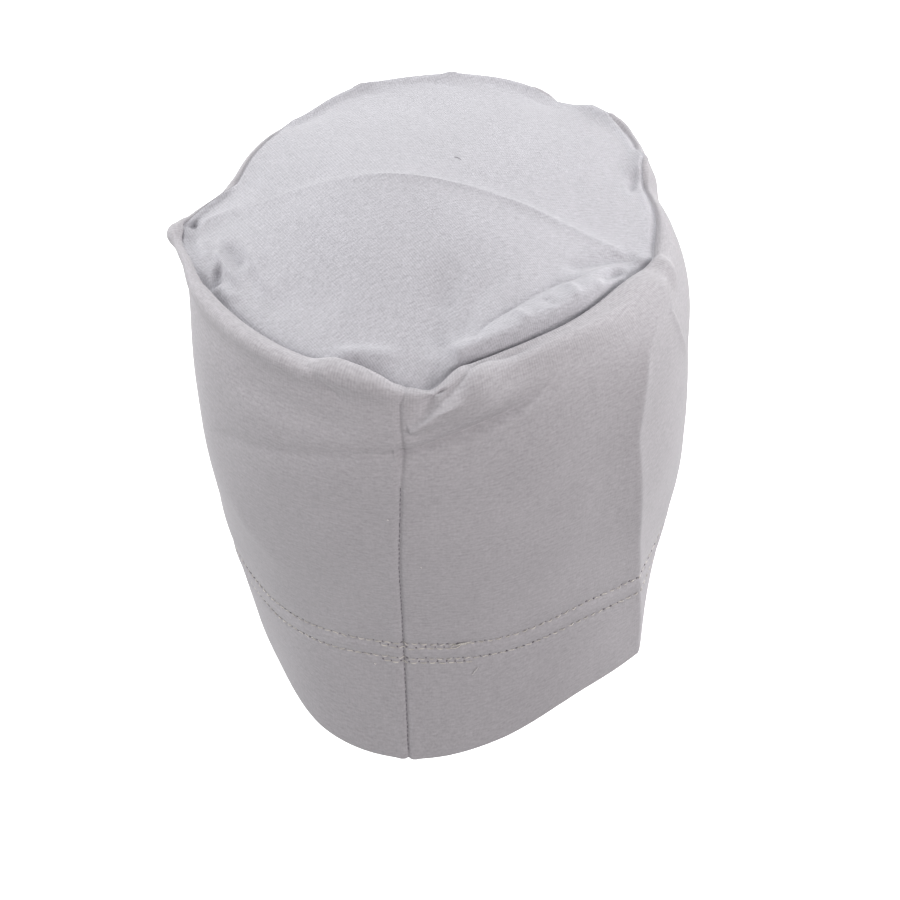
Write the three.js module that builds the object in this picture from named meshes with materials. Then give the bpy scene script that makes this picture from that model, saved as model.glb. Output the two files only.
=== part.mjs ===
// A soft jersey head wrap, as worn: a domed crown panel over a side wall with a deep turned-up hem.
// Millimetres, +Z up, -Y the front, +Y the centre back, +X the wearer's left.
// The origin is on the inner side of the crown at its top, where a head bears.
import * as THREE from "three";

// Cloth
const CLOTH = 1.2;
const GAP = 0.3;
const HEM_THICKNESS = 2 * CLOTH + GAP;
const JERSEY_GREY = 0xa7a4ab;
const JERSEY_ROUGHNESS = 0.9;

// Crown: its highest point and how it falls from there to the seam
const CROWN_TOP = { x: 10, y: 0, z: CLOTH };
const CROWN_FLATNESS = 1.6;

// Rim: the wall comes up out of the seam ditch, rolls over and turns down
const ROLL_FULL_LIFT = 2.5;
const ROLL_START_ANGLE = { flat: -15, lifted: 80 };
const ROLL_TOP_ANGLE = { flat: -50, lifted: 0 };
const SHOULDER_DROP = 9;
const SHOULDER_SHARE = 0.55;
const SHOULDER_FULLNESS = 1;

// Hem: the height of the folded edge's return, and how far the turn-up passes the stitching
const EDGE_RETURN = 3;
const TURN_UP_MARGIN = 1.5;

// Mesh: the back shows and has narrower columns than the front
const BACK_HALF_ANGLE = 104;
const BACK_STEP = 4;
const FRONT_COLUMNS = 24;
const CROWN_LEVELS = [-0.86, -0.7, -0.54, -0.4, -0.28, -0.19, -0.12, -0.06, 0];
const WALL_LEVELS = [0, 0.35, 0.7, 1, 1.35, 1.7, 2, 2.15, 2.3, 2.45, 2.65, 2.85, 3.1, 3.4, 3.7, 4, 4.35, 4.7];
const TURN_UP_SHARES = [0, 0.33, 0.67, 1];
const EDGE_TURNS = [45, 90, 135, 180];

// Levels name the lines of the form from the top down: the middle of the crown is -1.
const LEVEL = { seam: 0, rim: 1, shoulder: 2, bulge: 3, casing: 4, edge: 5 };

// Sections of the form, by their angle from the centre back towards the wearer's left.
// r is the distance from the Z axis and z the height of the seam, the rim's crest, the widest
// place, the upper stitch row of the hem and the bottom edge.
const SECTION_COLUMNS = [
  "deg", "seamR", "seamZ", "rimR", "rimZ", "bulgeR", "bulgeZ", "casingR", "casingZ", "edgeR", "edgeZ",
];
const SECTIONS = [
  [0, 80, -21, 85, -18.5, 91, -70, 79, -131, 71, -190],
  [25, 79, -21, 84, -18.5, 90, -72, 77, -135, 71, -187],
  [50, 78, -23, 82, -20.5, 87, -75, 73, -139, 67, -175],
  [75, 82, -26, 84, -24, 82, -76, 74, -137, 68, -164],
  [90, 87, -29, 89, -27, 82, -73, 75, -129, 72, -150],
  [112, 80, -20, 82, -21, 83, -66, 81, -111, 79, -132],
  [145, 88, -17, 90, -18.5, 89, -60, 90, -92, 88, -116],
  [180, 92, -16, 94, -17, 95, -57, 95, -82, 93, -111],
  [215, 89, -18, 91, -19.5, 89, -58, 92, -89, 88, -117],
  [248, 74, -20, 77, -21.5, 83, -59, 85, -106, 78, -137],
  [270, 69, -21, 75, -21, 84, -60, 81, -118, 71, -156],
  [294, 66, -16, 72, -15.5, 87, -62, 80, -127, 79, -163],
  [315, 69, -14, 74, -12.5, 86, -64, 79.5, -126, 77, -168],
  [335, 72, -15, 77, -13.5, 88, -68, 79, -130, 73, -181],
].map((row) => named(SECTION_COLUMNS, row));

// Folds, dents and gathers. A path is a list of [degrees, level] on the form; the cloth is moved
// by height along its normal, over about width to each side, and the fold fades in and out over
// the two shares of its length. A lip rises to its path from the right-hand side and drops off.
const FOLD_COLUMNS = ["piece", "kind", "width", "height", "fadeIn", "fadeOut", "path"];
const FOLDS = [
  // Pressed line across the crown, from tip to tip, and the two tips
  ["crown", "crease", 2, 0.6, 0.05, 0.05, [[92, -0.02], [94, -0.45], [90, -0.98], [-89, -0.5], [-86, -0.02]]],
  ["both", "ridge", 5, 2.5, 0.4, 0.4, [[90, -0.12], [89, 1], [86, 1.8]]],
  ["both", "ridge", 5, 1.5, 0.4, 0.4, [[-87, -0.1], [-84, 1], [-80, 1.8]]],
  // Crown cloth puffed up beside the seam, back right, with its cross ridges and inner valleys
  ["crown", "ridge", 4.5, 3, 0.15, 0.15, [[-19, -0.06], [-33, -0.1], [-46, -0.12], [-58, -0.1], [-82, -0.04]]],
  ["crown", "crease", 2, -0.9, 0.2, 0.2, [[-18, -0.1], [-27, -0.19], [-43, -0.24], [-60, -0.21], [-82, -0.1]]],
  ["crown", "ridge", 2.5, 1, 0.3, 0.3, [[-56, -0.18], [-50, -0.04]]],
  ["crown", "ridge", 2.5, 1, 0.3, 0.3, [[-34, -0.14], [-33, -0.03]]],
  ["crown", "ridge", 5, -1, 0.3, 0.3, [[-17, -0.12], [-20, -0.22], [-28, -0.3], [-42, -0.35]]],
  // Pits and dents of the crown beside the back and left rim
  ["crown", "ridge", 4, -2, 0.3, 0.3, [[13, -0.05], [7, -0.09], [2, -0.05]]],
  ["crown", "ridge", 3, 1.2, 0.3, 0.3, [[5, -0.22], [9, -0.16], [14, -0.13]]],
  ["crown", "ridge", 2.5, 0.9, 0.3, 0.3, [[76, -0.2], [60, -0.17], [52, -0.13]]],
  ["crown", "ridge", 5, -1.2, 0.3, 0.3, [[75, -0.28], [57, -0.25]]],
  ["crown", "ridge", 3.5, -2, 0.3, 0.3, [[70, -0.08], [66, -0.05], [62, -0.04]]],
  // Gathers over the far rim
  ["both", "ridge", 7, 2, 0.3, 0.4, [[154, -0.08], [154, 1], [152, 2.2]]],
  ["both", "ridge", 7, 2, 0.3, 0.4, [[173, -0.08], [174, 1], [174, 2.2]]],
  ["both", "ridge", 7, 1.6, 0.3, 0.4, [[-167, -0.08], [-166, 1], [-167, 2.2]]],
  ["both", "ridge", 7, 1.8, 0.3, 0.4, [[-148, -0.08], [-147, 1], [-149, 2.2]]],
  ["both", "ridge", 6, 2, 0.3, 0.4, [[-128, -0.08], [-127, 1], [-128, 2.2]]],
  // Pleat at the back right: a tongue of cloth that ends over the wall, beside the seam's corner
  ["wall", "lip", 9, 2.6, 0.5, 0.15, [[-31, 1.15], [-22, 1.5], [-17, 1.8], [-12, 2.05], [-5, 2.1]]],
  ["wall", "lip", 6, 1.5, 0.2, 0.2, [[-8, 1.75], [-10, 1.45], [-13.5, 1.25], [-15, 0.9]]],
  // Pressed lines of storage across the back, and the fullness under them
  ["wall", "crease", 2, -0.6, 0.15, 0.1, [[49, 2.77], [36, 2.67], [25, 2.55], [6, 2.38], [-2, 2.33]]],
  ["wall", "crease", 2, -0.8, 0.1, 0.2, [[-2, 2.33], [-11, 2.23], [-20, 2.17], [-31, 2.15]]],
  ["wall", "crease", 2, -0.5, 0.3, 0.3, [[-24, 2.27], [-28, 2.22], [-34, 2.15]]],
  ["wall", "ridge", 9, 1.2, 0.3, 0.3, [[40, 2.85], [20, 2.65], [-8, 2.45], [-32, 2.35]]],
  // Right side: a long edge from the tip to the hem's corner, and a fine line in front of it
  ["wall", "crease", 11, 2.2, 0.15, 0.05, [[-80, 1.35], [-64, 2.02], [-56, 2.6], [-58, 3.4], [-64, 4.1], [-66, 5]]],
  ["wall", "crease", 2, 0.5, 0.2, 0.3, [[-73, 1.8], [-75, 2.12], [-77, 2.4], [-87, 3]]],
].map((row) => named(FOLD_COLUMNS, row));
const LIP_EDGE = 1;
const LIP_UNDERCUT = 0.3;
const LIP_UNDERCUT_WIDTH = 0.4;
const PATH_STEPS = 20;
const SEAM_CALM = { crown: 0.04, wall: 0.5 };

function named(columns, row) {
  return Object.fromEntries(columns.map((column, i) => [column, row[i]]));
}

// Value of a section column at any angle, on a smooth closed curve through the rows
function sectionValue(column, degrees) {
  const angle = THREE.MathUtils.euclideanModulo(degrees, 360);
  const count = SECTIONS.length;
  const knot = (i) => {
    const turn = Math.floor(i / count);
    const row = SECTIONS[i - turn * count];
    return { x: row.deg + 360 * turn, y: row[column] };
  };
  let i = 0;
  while (i < count - 1 && SECTIONS[i + 1].deg <= angle) i += 1;
  const [a, b, c, d] = [knot(i - 1), knot(i), knot(i + 1), knot(i + 2)];
  const slope = (p, q, r) => {
    const before = (q.y - p.y) / (q.x - p.x);
    const after = (r.y - q.y) / (r.x - q.x);
    return (before * (r.x - q.x) + after * (q.x - p.x)) / (r.x - p.x);
  };
  const width = c.x - b.x;
  return hermite(b.y, c.y, slope(a, b, c) * width, slope(b, c, d) * width, (angle - b.x) / width);
}

function hermite(start, end, startSlope, endSlope, t) {
  const s = 1 - t;
  return (1 + 2 * t) * s * s * start + t * s * s * startSlope + t * t * (3 - 2 * t) * end - t * t * s * endSlope;
}

// Profile of the wall at one angle: points and directions in (r, z) from the seam to the bottom edge
function wallProfile(degrees) {
  const value = (column) => sectionValue(column, degrees);
  const rim = new THREE.Vector2(value("rimR"), value("rimZ"));
  const bulge = new THREE.Vector2(value("bulgeR"), value("bulgeZ"));
  const shoulderR = rim.x + SHOULDER_SHARE * (bulge.x - rim.x) + SHOULDER_FULLNESS;
  const points = [
    new THREE.Vector2(value("seamR"), value("seamZ")),
    rim,
    new THREE.Vector2(shoulderR, rim.y - SHOULDER_DROP),
    bulge,
    new THREE.Vector2(value("casingR"), value("casingZ")),
    new THREE.Vector2(value("edgeR"), value("edgeZ")),
  ];
  const chords = points.slice(1).map((point, i) => point.clone().sub(points[i]));
  const lengths = chords.map((chord) => chord.length());
  const directions = chords.map((chord) => chord.clone().normalize());
  const tangents = points.map((_, i) => {
    if (i === 0) return directions[0];
    if (i === chords.length) return directions[i - 1];
    const after = directions[i].clone().multiplyScalar(lengths[i - 1]);
    const before = directions[i - 1].clone().multiplyScalar(lengths[i]);
    return after.add(before).divideScalar(lengths[i] + lengths[i - 1]);
  });
  const lift = THREE.MathUtils.clamp((points[1].y - points[0].y) / ROLL_FULL_LIFT, -1, 1);
  tangents[0] = rollDirection(ROLL_START_ANGLE, lift);
  tangents[1] = rollDirection(ROLL_TOP_ANGLE, lift);
  return { points, lengths, tangents };
}

function rollDirection(range, lift) {
  const degrees = THREE.MathUtils.mapLinear(lift, -1, 1, range.flat, range.lifted);
  const angle = THREE.MathUtils.degToRad(degrees);
  return new THREE.Vector2(Math.cos(angle), Math.sin(angle));
}

// Point of the plain form, without folds, at an angle and a level
function formPoint(degrees, level) {
  const angle = THREE.MathUtils.degToRad(degrees);
  const outward = new THREE.Vector3(Math.sin(angle), Math.cos(angle), 0);
  if (level <= LEVEL.seam) {
    const share = level + 1;
    const rise = 1 - share * share * (CROWN_FLATNESS - (CROWN_FLATNESS - 1) * share * share);
    const seamZ = sectionValue("seamZ", degrees);
    const point = outward.multiplyScalar(sectionValue("seamR", degrees) * share);
    point.x += CROWN_TOP.x * (1 - share);
    point.y += CROWN_TOP.y * (1 - share);
    point.z = seamZ + (CROWN_TOP.z - seamZ) * rise;
    return point;
  }
  const { points, lengths, tangents } = wallProfile(degrees);
  const i = Math.min(Math.floor(level), LEVEL.edge - 1);
  const along = (axis) => hermite(
    points[i][axis],
    points[i + 1][axis],
    tangents[i][axis] * lengths[i],
    tangents[i + 1][axis] * lengths[i],
    level - i,
  );
  return outward.multiplyScalar(along("x")).setZ(along("y"));
}

// Outward normal of the plain form, taken on the piece's own side of the seam
function formNormal(piece, degrees, level) {
  const turn = 0.5;
  const step = 0.02;
  const low = piece === "wall" ? LEVEL.seam + 1e-6 : -1;
  const high = piece === "wall" ? LEVEL.edge : LEVEL.seam;
  const above = formPoint(degrees, Math.max(level - step, low));
  const below = formPoint(degrees, Math.min(level + step, high));
  const around = formPoint(degrees + turn, level).sub(formPoint(degrees - turn, level));
  return around.cross(below.sub(above)).normalize();
}

// Folds as sampled space curves
const foldCurves = FOLDS.map((fold) => {
  const corners = fold.path.map(([degrees, level]) => formPoint(degrees, level));
  const points = new THREE.CatmullRomCurve3(corners, false, "centripetal").getPoints(PATH_STEPS);
  return { ...fold, points };
});

// Height of one fold at a signed distance from its path
function foldHeight(fold, distance) {
  if (fold.kind === "ridge") return fold.height * Math.exp(-((distance / fold.width) ** 2));
  if (fold.kind === "crease") return fold.height * Math.exp(-Math.abs(distance) / fold.width);
  const covering = THREE.MathUtils.smoothstep(distance, -LIP_EDGE, LIP_EDGE);
  const rise = Math.exp(-Math.max(distance, 0) / fold.width);
  const undercut = LIP_UNDERCUT * Math.exp(Math.min(distance, 0) / (LIP_UNDERCUT_WIDTH * fold.width));
  return fold.height * (covering * rise - (1 - covering) * undercut);
}

// How far a fold moves the cloth at a point with a given normal
function foldShift(fold, point, normal) {
  let best = { gap: Infinity };
  for (let i = 0; i < PATH_STEPS; i += 1) {
    const segment = new THREE.Line3(fold.points[i], fold.points[i + 1]);
    const share = segment.closestPointToPointParameter(point, true);
    const foot = segment.at(share, new THREE.Vector3());
    const gap = foot.distanceTo(point);
    if (gap < best.gap) best = { gap, foot, along: (i + share) / PATH_STEPS, segment };
  }
  const direction = best.segment.delta(new THREE.Vector3()).normalize();
  const rightHand = direction.cross(normal);
  const side = Math.sign(point.clone().sub(best.foot).dot(rightHand)) || 1;
  const fadeIn = THREE.MathUtils.smoothstep(best.along, 0, fold.fadeIn);
  const fadeOut = 1 - THREE.MathUtils.smoothstep(best.along, 1 - fold.fadeOut, 1);
  return foldHeight(fold, side * best.gap) * fadeIn * fadeOut;
}

// Outer side of the cloth with its folds, and the direction into the cloth
function clothPoint(piece, degrees, level) {
  const point = formPoint(degrees, level);
  const normal = formNormal(piece, degrees, level);
  const calm = THREE.MathUtils.smoothstep(Math.abs(level), 0, SEAM_CALM[piece]);
  let shift = 0;
  for (const fold of foldCurves) {
    if (fold.piece === piece || fold.piece === "both") shift += foldShift(fold, point, normal);
  }
  return { outer: point.addScaledVector(normal, shift * calm), inward: normal.negate() };
}

function inside(cloth, depth) {
  return cloth.outer.clone().addScaledVector(cloth.inward, depth);
}

function columnAngles() {
  const angles = [];
  for (let degrees = -BACK_HALF_ANGLE; degrees <= BACK_HALF_ANGLE; degrees += BACK_STEP) angles.push(degrees);
  const frontStep = (360 - 2 * BACK_HALF_ANGLE) / (FRONT_COLUMNS + 1);
  for (let i = 1; i <= FRONT_COLUMNS; i += 1) angles.push(BACK_HALF_ANGLE + i * frontStep);
  return angles;
}

// Closed mesh from positions and faces, with its faces turned outward
function closedMesh(name, points, faces) {
  let volume = 0;
  for (const [a, b, c] of faces) volume += points[a].dot(points[b].clone().cross(points[c]));
  const turned = volume > 0 ? faces : faces.map(([a, b, c]) => [a, c, b]);
  const geometry = new THREE.BufferGeometry().setFromPoints(points);
  geometry.setIndex(turned.flat());
  geometry.computeVertexNormals();
  const material = new THREE.MeshStandardMaterial({
    color: JERSEY_GREY,
    roughness: JERSEY_ROUGHNESS,
    metalness: 0,
  });
  const mesh = new THREE.Mesh(geometry, material);
  mesh.name = name;
  return mesh;
}

// Ring of cloth whose closed cross-section is given at each column
function clothRing(name, sections) {
  const size = sections[0].length;
  const faces = [];
  sections.forEach((_, column) => {
    const next = (column + 1) % sections.length;
    for (let i = 0; i < size; i += 1) {
      const j = (i + 1) % size;
      const [a, b, c, d] = [column * size + i, column * size + j, next * size + j, next * size + i];
      faces.push([a, b, c], [a, c, d]);
    }
  });
  return closedMesh(name, sections.flat(), faces);
}

// Level of the wall at a distance above the bottom edge
function levelAboveEdge(degrees, distance) {
  return LEVEL.edge - distance / formPoint(degrees, LEVEL.casing).distanceTo(formPoint(degrees, LEVEL.edge));
}

function crown() {
  const points = [];
  const faces = [];
  const angles = columnAngles();
  const rings = CROWN_LEVELS.length;
  const top = clothPoint("crown", 0, -1 + 1e-3);
  const addSide = (depth) => {
    const centre = points.push(inside(top, depth)) - 1;
    for (const level of CROWN_LEVELS) {
      for (const degrees of angles) {
        const trim = level === LEVEL.seam ? (GAP / 2) / sectionValue("seamR", degrees) : 0;
        points.push(inside(clothPoint("crown", degrees, level - trim), depth));
      }
    }
    return centre;
  };
  const outer = addSide(0);
  const inner = addSide(CLOTH);
  const at = (centre, ring, column) => centre + 1 + ring * angles.length + (column % angles.length);
  angles.forEach((_, column) => {
    faces.push([outer, at(outer, 0, column), at(outer, 0, column + 1)]);
    faces.push([inner, at(inner, 0, column + 1), at(inner, 0, column)]);
    for (let ring = 0; ring < rings - 1; ring += 1) {
      const [a, b] = [at(outer, ring, column), at(outer, ring, column + 1)];
      const [c, d] = [at(outer, ring + 1, column), at(outer, ring + 1, column + 1)];
      const under = inner - outer;
      faces.push([a, c, d], [a, d, b]);
      faces.push([a + under, d + under, c + under], [a + under, b + under, d + under]);
    }
    const [c, d] = [at(outer, rings - 1, column), at(outer, rings - 1, column + 1)];
    const [e, f] = [at(inner, rings - 1, column), at(inner, rings - 1, column + 1)];
    faces.push([c, e, f], [c, f, d]);
  });
  return closedMesh("crown", points, faces);
}

// Wall: from the seam over the rim to the bottom edge, which turns inward and up a little
function wall() {
  const sections = columnAngles().map((degrees) => {
    const returnLevel = levelAboveEdge(degrees, EDGE_RETURN);
    const seamTrim = (GAP / 2) / wallProfile(degrees).lengths[0];
    const levels = [...WALL_LEVELS.map((level) => Math.max(level, seamTrim)), returnLevel];
    const cloth = levels.map((level) => clothPoint("wall", degrees, level));
    const edge = clothPoint("wall", degrees, LEVEL.edge);
    const returned = cloth.at(-1);
    const down = edge.outer.clone().sub(returned.outer).normalize();
    const turn = EDGE_TURNS.map((bend) => {
      const angle = THREE.MathUtils.degToRad(bend);
      const half = HEM_THICKNESS / 2;
      return inside(edge, half * (1 - Math.cos(angle))).addScaledVector(down, half * Math.sin(angle));
    });
    return [
      ...cloth.map((place) => place.outer),
      edge.outer,
      ...turn,
      inside(returned, HEM_THICKNESS),
      ...cloth.toReversed().map((place) => inside(place, CLOTH)),
    ];
  });
  return clothRing("wall", sections);
}

// Turned-up inner layer of the hem, from the folded edge to just past the upper stitch row
function hemTurnUp() {
  const depth = CLOTH + GAP;
  const sections = columnAngles().map((degrees) => {
    const low = levelAboveEdge(degrees, EDGE_RETURN + GAP);
    const high = LEVEL.casing - TURN_UP_MARGIN / wallProfile(degrees).lengths[LEVEL.bulge];
    const cloth = TURN_UP_SHARES.map((share) => {
      return clothPoint("wall", degrees, THREE.MathUtils.lerp(high, low, share));
    });
    return [
      ...cloth.map((place) => inside(place, depth)),
      ...cloth.toReversed().map((place) => inside(place, depth + CLOTH)),
    ];
  });
  return clothRing("hem_turn_up", sections);
}

const turban = new THREE.Group();
turban.add(crown(), wall(), hemTurnUp());

export default turban;
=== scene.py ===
"""Looks of a soft jersey head wrap, kept in the form it has when worn.

A domed crown panel is sewn into a side wall, whose cloth rolls over the rim beside the seam. The
wall is closed by a seam at the centre back and ends in a deep turned-up hem with two stitch rows.
"""

import logging
import math
from dataclasses import dataclass
from enum import Enum
from typing import NamedTuple

import bpy
import numpy as np
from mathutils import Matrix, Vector

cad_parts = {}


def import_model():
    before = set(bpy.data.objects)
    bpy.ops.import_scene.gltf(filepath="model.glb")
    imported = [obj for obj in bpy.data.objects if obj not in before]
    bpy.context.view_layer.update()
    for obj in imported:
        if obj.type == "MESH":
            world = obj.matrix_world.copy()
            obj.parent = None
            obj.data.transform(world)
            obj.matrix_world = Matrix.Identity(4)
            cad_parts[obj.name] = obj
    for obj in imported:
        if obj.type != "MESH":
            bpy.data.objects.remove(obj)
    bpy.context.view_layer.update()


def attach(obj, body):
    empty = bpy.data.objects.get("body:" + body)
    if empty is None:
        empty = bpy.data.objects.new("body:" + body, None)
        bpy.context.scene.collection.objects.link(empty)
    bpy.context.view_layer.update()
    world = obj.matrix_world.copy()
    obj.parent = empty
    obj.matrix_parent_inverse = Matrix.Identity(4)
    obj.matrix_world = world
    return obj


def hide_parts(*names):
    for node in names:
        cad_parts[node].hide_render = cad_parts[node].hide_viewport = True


MM = 0.001
LOG = logging.getLogger("head_wrap")


class Panel(Enum):
    """Cut pieces of cloth, by the name of their node."""

    CROWN = "crown"
    WALL = "wall"


class Level:
    """Lines of the form from the top down. The rim's crest is at 1, and the shoulder below it at 2."""

    MIDDLE = -1.0
    SEAM = 0.0
    BULGE = 3.0
    CASING = 4.0
    EDGE = 5.0


class FoldKind(Enum):
    """Cross-sections that a fold can have."""

    RIDGE = "rounded, raised or sunk"
    CREASE = "sharp line, raised or pressed in"
    ROLL = "rounds over to a drop on the right-hand side of its path, falls slowly on the other"


class Section(NamedTuple):
    """One section of the form: distance from the Z axis and height of its main points, in mm."""

    deg: float
    seam_r: float
    seam_z: float
    rim_r: float
    rim_z: float
    bulge_r: float
    bulge_z: float
    casing_r: float
    casing_z: float
    edge_r: float
    edge_z: float


# These sizes were estimated by hand, then fitted to the outline in the photo by a scratch program and
# rounded. Most of them are that program's numbers.
SECTIONS = (
    Section(0, 80, -21, 85, -18.5, 91, -70, 79, -131, 71, -190),
    Section(25, 79, -21, 84, -18.5, 90, -72, 77, -135, 71, -187),
    Section(50, 78, -23, 82, -20.5, 87, -75, 73, -139, 67, -175),
    Section(75, 82, -26, 84, -24, 82, -76, 74, -137, 68, -164),
    Section(90, 87, -29, 89, -27, 82, -73, 75, -129, 72, -150),
    Section(112, 80, -20, 82, -21, 83, -66, 81, -111, 79, -132),
    Section(145, 88, -17, 90, -18.5, 89, -60, 90, -92, 88, -116),
    Section(180, 92, -16, 94, -17, 95, -57, 95, -82, 93, -111),
    Section(215, 89, -18, 91, -19.5, 89, -58, 92, -89, 88, -117),
    Section(248, 74, -20, 77, -21.5, 83, -59, 85, -106, 78, -137),
    Section(270, 69, -21, 75, -21, 84, -60, 81, -118, 71, -156),
    Section(294, 66, -16, 72, -15.5, 87, -62, 80, -127, 79, -163),
    Section(315, 69, -14, 74, -12.5, 86, -64, 79.5, -126, 77, -168),
    Section(335, 72, -15, 77, -13.5, 88, -68, 79, -130, 73, -181),
)


def smooth_step(x: np.ndarray, low: float, high: float) -> np.ndarray:
    """Smooth rise from 0 at low to 1 at high."""
    t = np.clip((x - low) / max(high - low, 1e-9), 0.0, 1.0)
    return t * t * (3.0 - 2.0 * t)


def hermite(
    start: np.ndarray, end: np.ndarray, slope_start: np.ndarray, slope_end: np.ndarray, t: np.ndarray
) -> np.ndarray:
    """Cubic between two values with given slopes at both ends.

    Args:
        start: Values at t = 0.
        end: Values at t = 1.
        slope_start: Slopes at t = 0.
        slope_end: Slopes at t = 1.
        t: Where each value is wanted, from 0 to 1.

    Returns:
        The values at t.
    """
    s = 1.0 - t
    ends = (1.0 + 2.0 * t) * s * s * start + t * t * (3.0 - 2.0 * t) * end
    return ends + t * s * s * slope_start - t * t * s * slope_end


def unit(vectors: np.ndarray) -> np.ndarray:
    """Vectors scaled to length 1 along the last axis."""
    return vectors / np.maximum(np.linalg.norm(vectors, axis=-1, keepdims=True), 1e-12)


@dataclass(frozen=True)
class CapForm:
    """Plain form of the cap without folds, in millimetres.

    A place on it is an angle in degrees from the centre back towards +X, and a level.
    """

    top_x: float = 10.0
    top_z: float = 1.2
    crown_flatness: float = 1.6
    full_lift: float = 2.5
    roll_start: tuple[float, float] = (-15.0, 80.0)
    roll_top: tuple[float, float] = (-50.0, 0.0)
    shoulder_drop: float = 9.0
    shoulder_share: float = 0.55
    shoulder_fullness: float = 1.0

    def value(self, column: str, degrees: np.ndarray) -> np.ndarray:
        """Value of one section column at any angle, on a smooth closed curve.

        Args:
            column: Name of a field of Section.
            degrees: Angles from the centre back.

        Returns:
            The value at each angle, in mm.
        """
        angle = np.mod(degrees, 360.0)
        knots = np.array([row.deg for row in SECTIONS], float)
        values = np.array([getattr(row, column) for row in SECTIONS], float)
        x = np.concatenate([knots[-2:] - 360.0, knots, knots[:3] + 360.0])
        y = np.concatenate([values[-2:], values, values[:3]])
        step = np.diff(x)
        rise = np.diff(y) / step
        slope = np.zeros_like(x)
        slope[1:-1] = (rise[:-1] * step[1:] + rise[1:] * step[:-1]) / (step[1:] + step[:-1])
        i = np.clip(np.searchsorted(x, angle, side="right") - 1, 1, len(x) - 3)
        width = step[i]
        return hermite(y[i], y[i + 1], slope[i] * width, slope[i + 1] * width, (angle - x[i]) / width)

    def profile(self, degrees: np.ndarray) -> tuple[np.ndarray, np.ndarray, np.ndarray]:
        """Main points of the wall at each angle, from the seam to the bottom edge.

        Args:
            degrees: Angles from the centre back.

        Returns:
            Points (6, n, 2) in r and z, the five lengths between them and the directions there.
        """
        rim_r, rim_z = self.value("rim_r", degrees), self.value("rim_z", degrees)
        bulge_r = self.value("bulge_r", degrees)
        shoulder_r = rim_r + self.shoulder_share * (bulge_r - rim_r) + self.shoulder_fullness
        radii = [
            self.value("seam_r", degrees),
            rim_r,
            shoulder_r,
            bulge_r,
            self.value("casing_r", degrees),
            self.value("edge_r", degrees),
        ]
        heights = [
            self.value("seam_z", degrees),
            rim_z,
            rim_z - self.shoulder_drop,
            self.value("bulge_z", degrees),
            self.value("casing_z", degrees),
            self.value("edge_z", degrees),
        ]
        points = np.stack([np.stack(radii), np.stack(heights)], axis=-1)
        chords = np.diff(points, axis=0)
        lengths = np.linalg.norm(chords, axis=-1)
        along = chords / lengths[..., None]
        tangents = np.empty_like(points)
        tangents[-1] = along[-1]
        before, after = lengths[:-1, :, None], lengths[1:, :, None]
        tangents[1:-1] = (along[1:] * before + along[:-1] * after) / (before + after)
        lift = np.clip((heights[1] - heights[0]) / self.full_lift, -1.0, 1.0)
        tangents[0] = self.roll_direction(self.roll_start, lift)
        tangents[1] = self.roll_direction(self.roll_top, lift)
        return points, lengths, tangents

    @staticmethod
    def roll_direction(limits: tuple[float, float], lift: np.ndarray) -> np.ndarray:
        """Direction in r and z of the rolled rim, from flat (lift -1) to fully lifted (lift 1)."""
        angle = np.radians(limits[0] + (limits[1] - limits[0]) * (lift + 1.0) / 2.0)
        return np.stack([np.cos(angle), np.sin(angle)], axis=-1)

    def crown_point(self, degrees: np.ndarray, level: np.ndarray) -> np.ndarray:
        """Points of the crown, from its middle to the seam.

        Args:
            degrees: Angles from the centre back.
            level: Levels on the form.

        Returns:
            The points, in mm.
        """
        share = level + 1.0
        flat = self.crown_flatness
        rise = 1.0 - share * share * (flat - (flat - 1.0) * share * share)
        seam_z = self.value("seam_z", degrees)
        reach = self.value("seam_r", degrees) * share
        angle = np.radians(degrees)
        x = reach * np.sin(angle) + self.top_x * (1.0 - share)
        return np.stack([x, reach * np.cos(angle), seam_z + (self.top_z - seam_z) * rise], axis=-1)

    def wall_point(self, degrees: np.ndarray, level: np.ndarray) -> np.ndarray:
        """Points of the wall, from the seam over the rim to the bottom edge.

        Args:
            degrees: Angles from the centre back.
            level: Levels on the form.

        Returns:
            The points, in mm.
        """
        points, lengths, tangents = self.profile(degrees)
        i = np.clip(np.floor(level).astype(int), 0, int(Level.EDGE) - 1)
        n = np.arange(len(degrees))
        length = lengths[i, n][:, None]
        r_z = hermite(
            points[i, n],
            points[i + 1, n],
            tangents[i, n] * length,
            tangents[i + 1, n] * length,
            (level - i)[:, None],
        )
        angle = np.radians(degrees)
        return np.stack([r_z[:, 0] * np.sin(angle), r_z[:, 0] * np.cos(angle), r_z[:, 1]], axis=-1)

    def point(self, panel: Panel, degrees: np.ndarray, level: np.ndarray) -> np.ndarray:
        """Points of one panel in mm."""
        return (self.crown_point if panel is Panel.CROWN else self.wall_point)(degrees, level)

    def normal(self, panel: Panel, degrees: np.ndarray, level: np.ndarray) -> np.ndarray:
        """Outward normals of one panel, taken on the panel's own side of the seam.

        Args:
            panel: The panel of cloth.
            degrees: Angles from the centre back.
            level: Levels on the form.

        Returns:
            Directions of length 1.
        """
        turn, step, past_seam = 0.3, 0.01, 1e-6
        low, high = (Level.MIDDLE, Level.SEAM) if panel is Panel.CROWN else (past_seam, Level.EDGE)
        around = self.point(panel, degrees + turn, level) - self.point(panel, degrees - turn, level)
        below = self.point(panel, degrees, np.clip(level + step, low, high))
        above = self.point(panel, degrees, np.clip(level - step, low, high))
        return unit(np.cross(around, below - above))

    def any_point(self, places: np.ndarray) -> np.ndarray:
        """Points of either panel.

        Args:
            places: Pairs of (degrees, level).

        Returns:
            The points, in mm.
        """
        degrees, level = places[:, 0], places[:, 1]
        crown = self.crown_point(degrees, np.minimum(level, Level.SEAM))
        wall = self.wall_point(degrees, np.maximum(level, Level.SEAM))
        return np.where((level <= Level.SEAM)[:, None], crown, wall)

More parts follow.
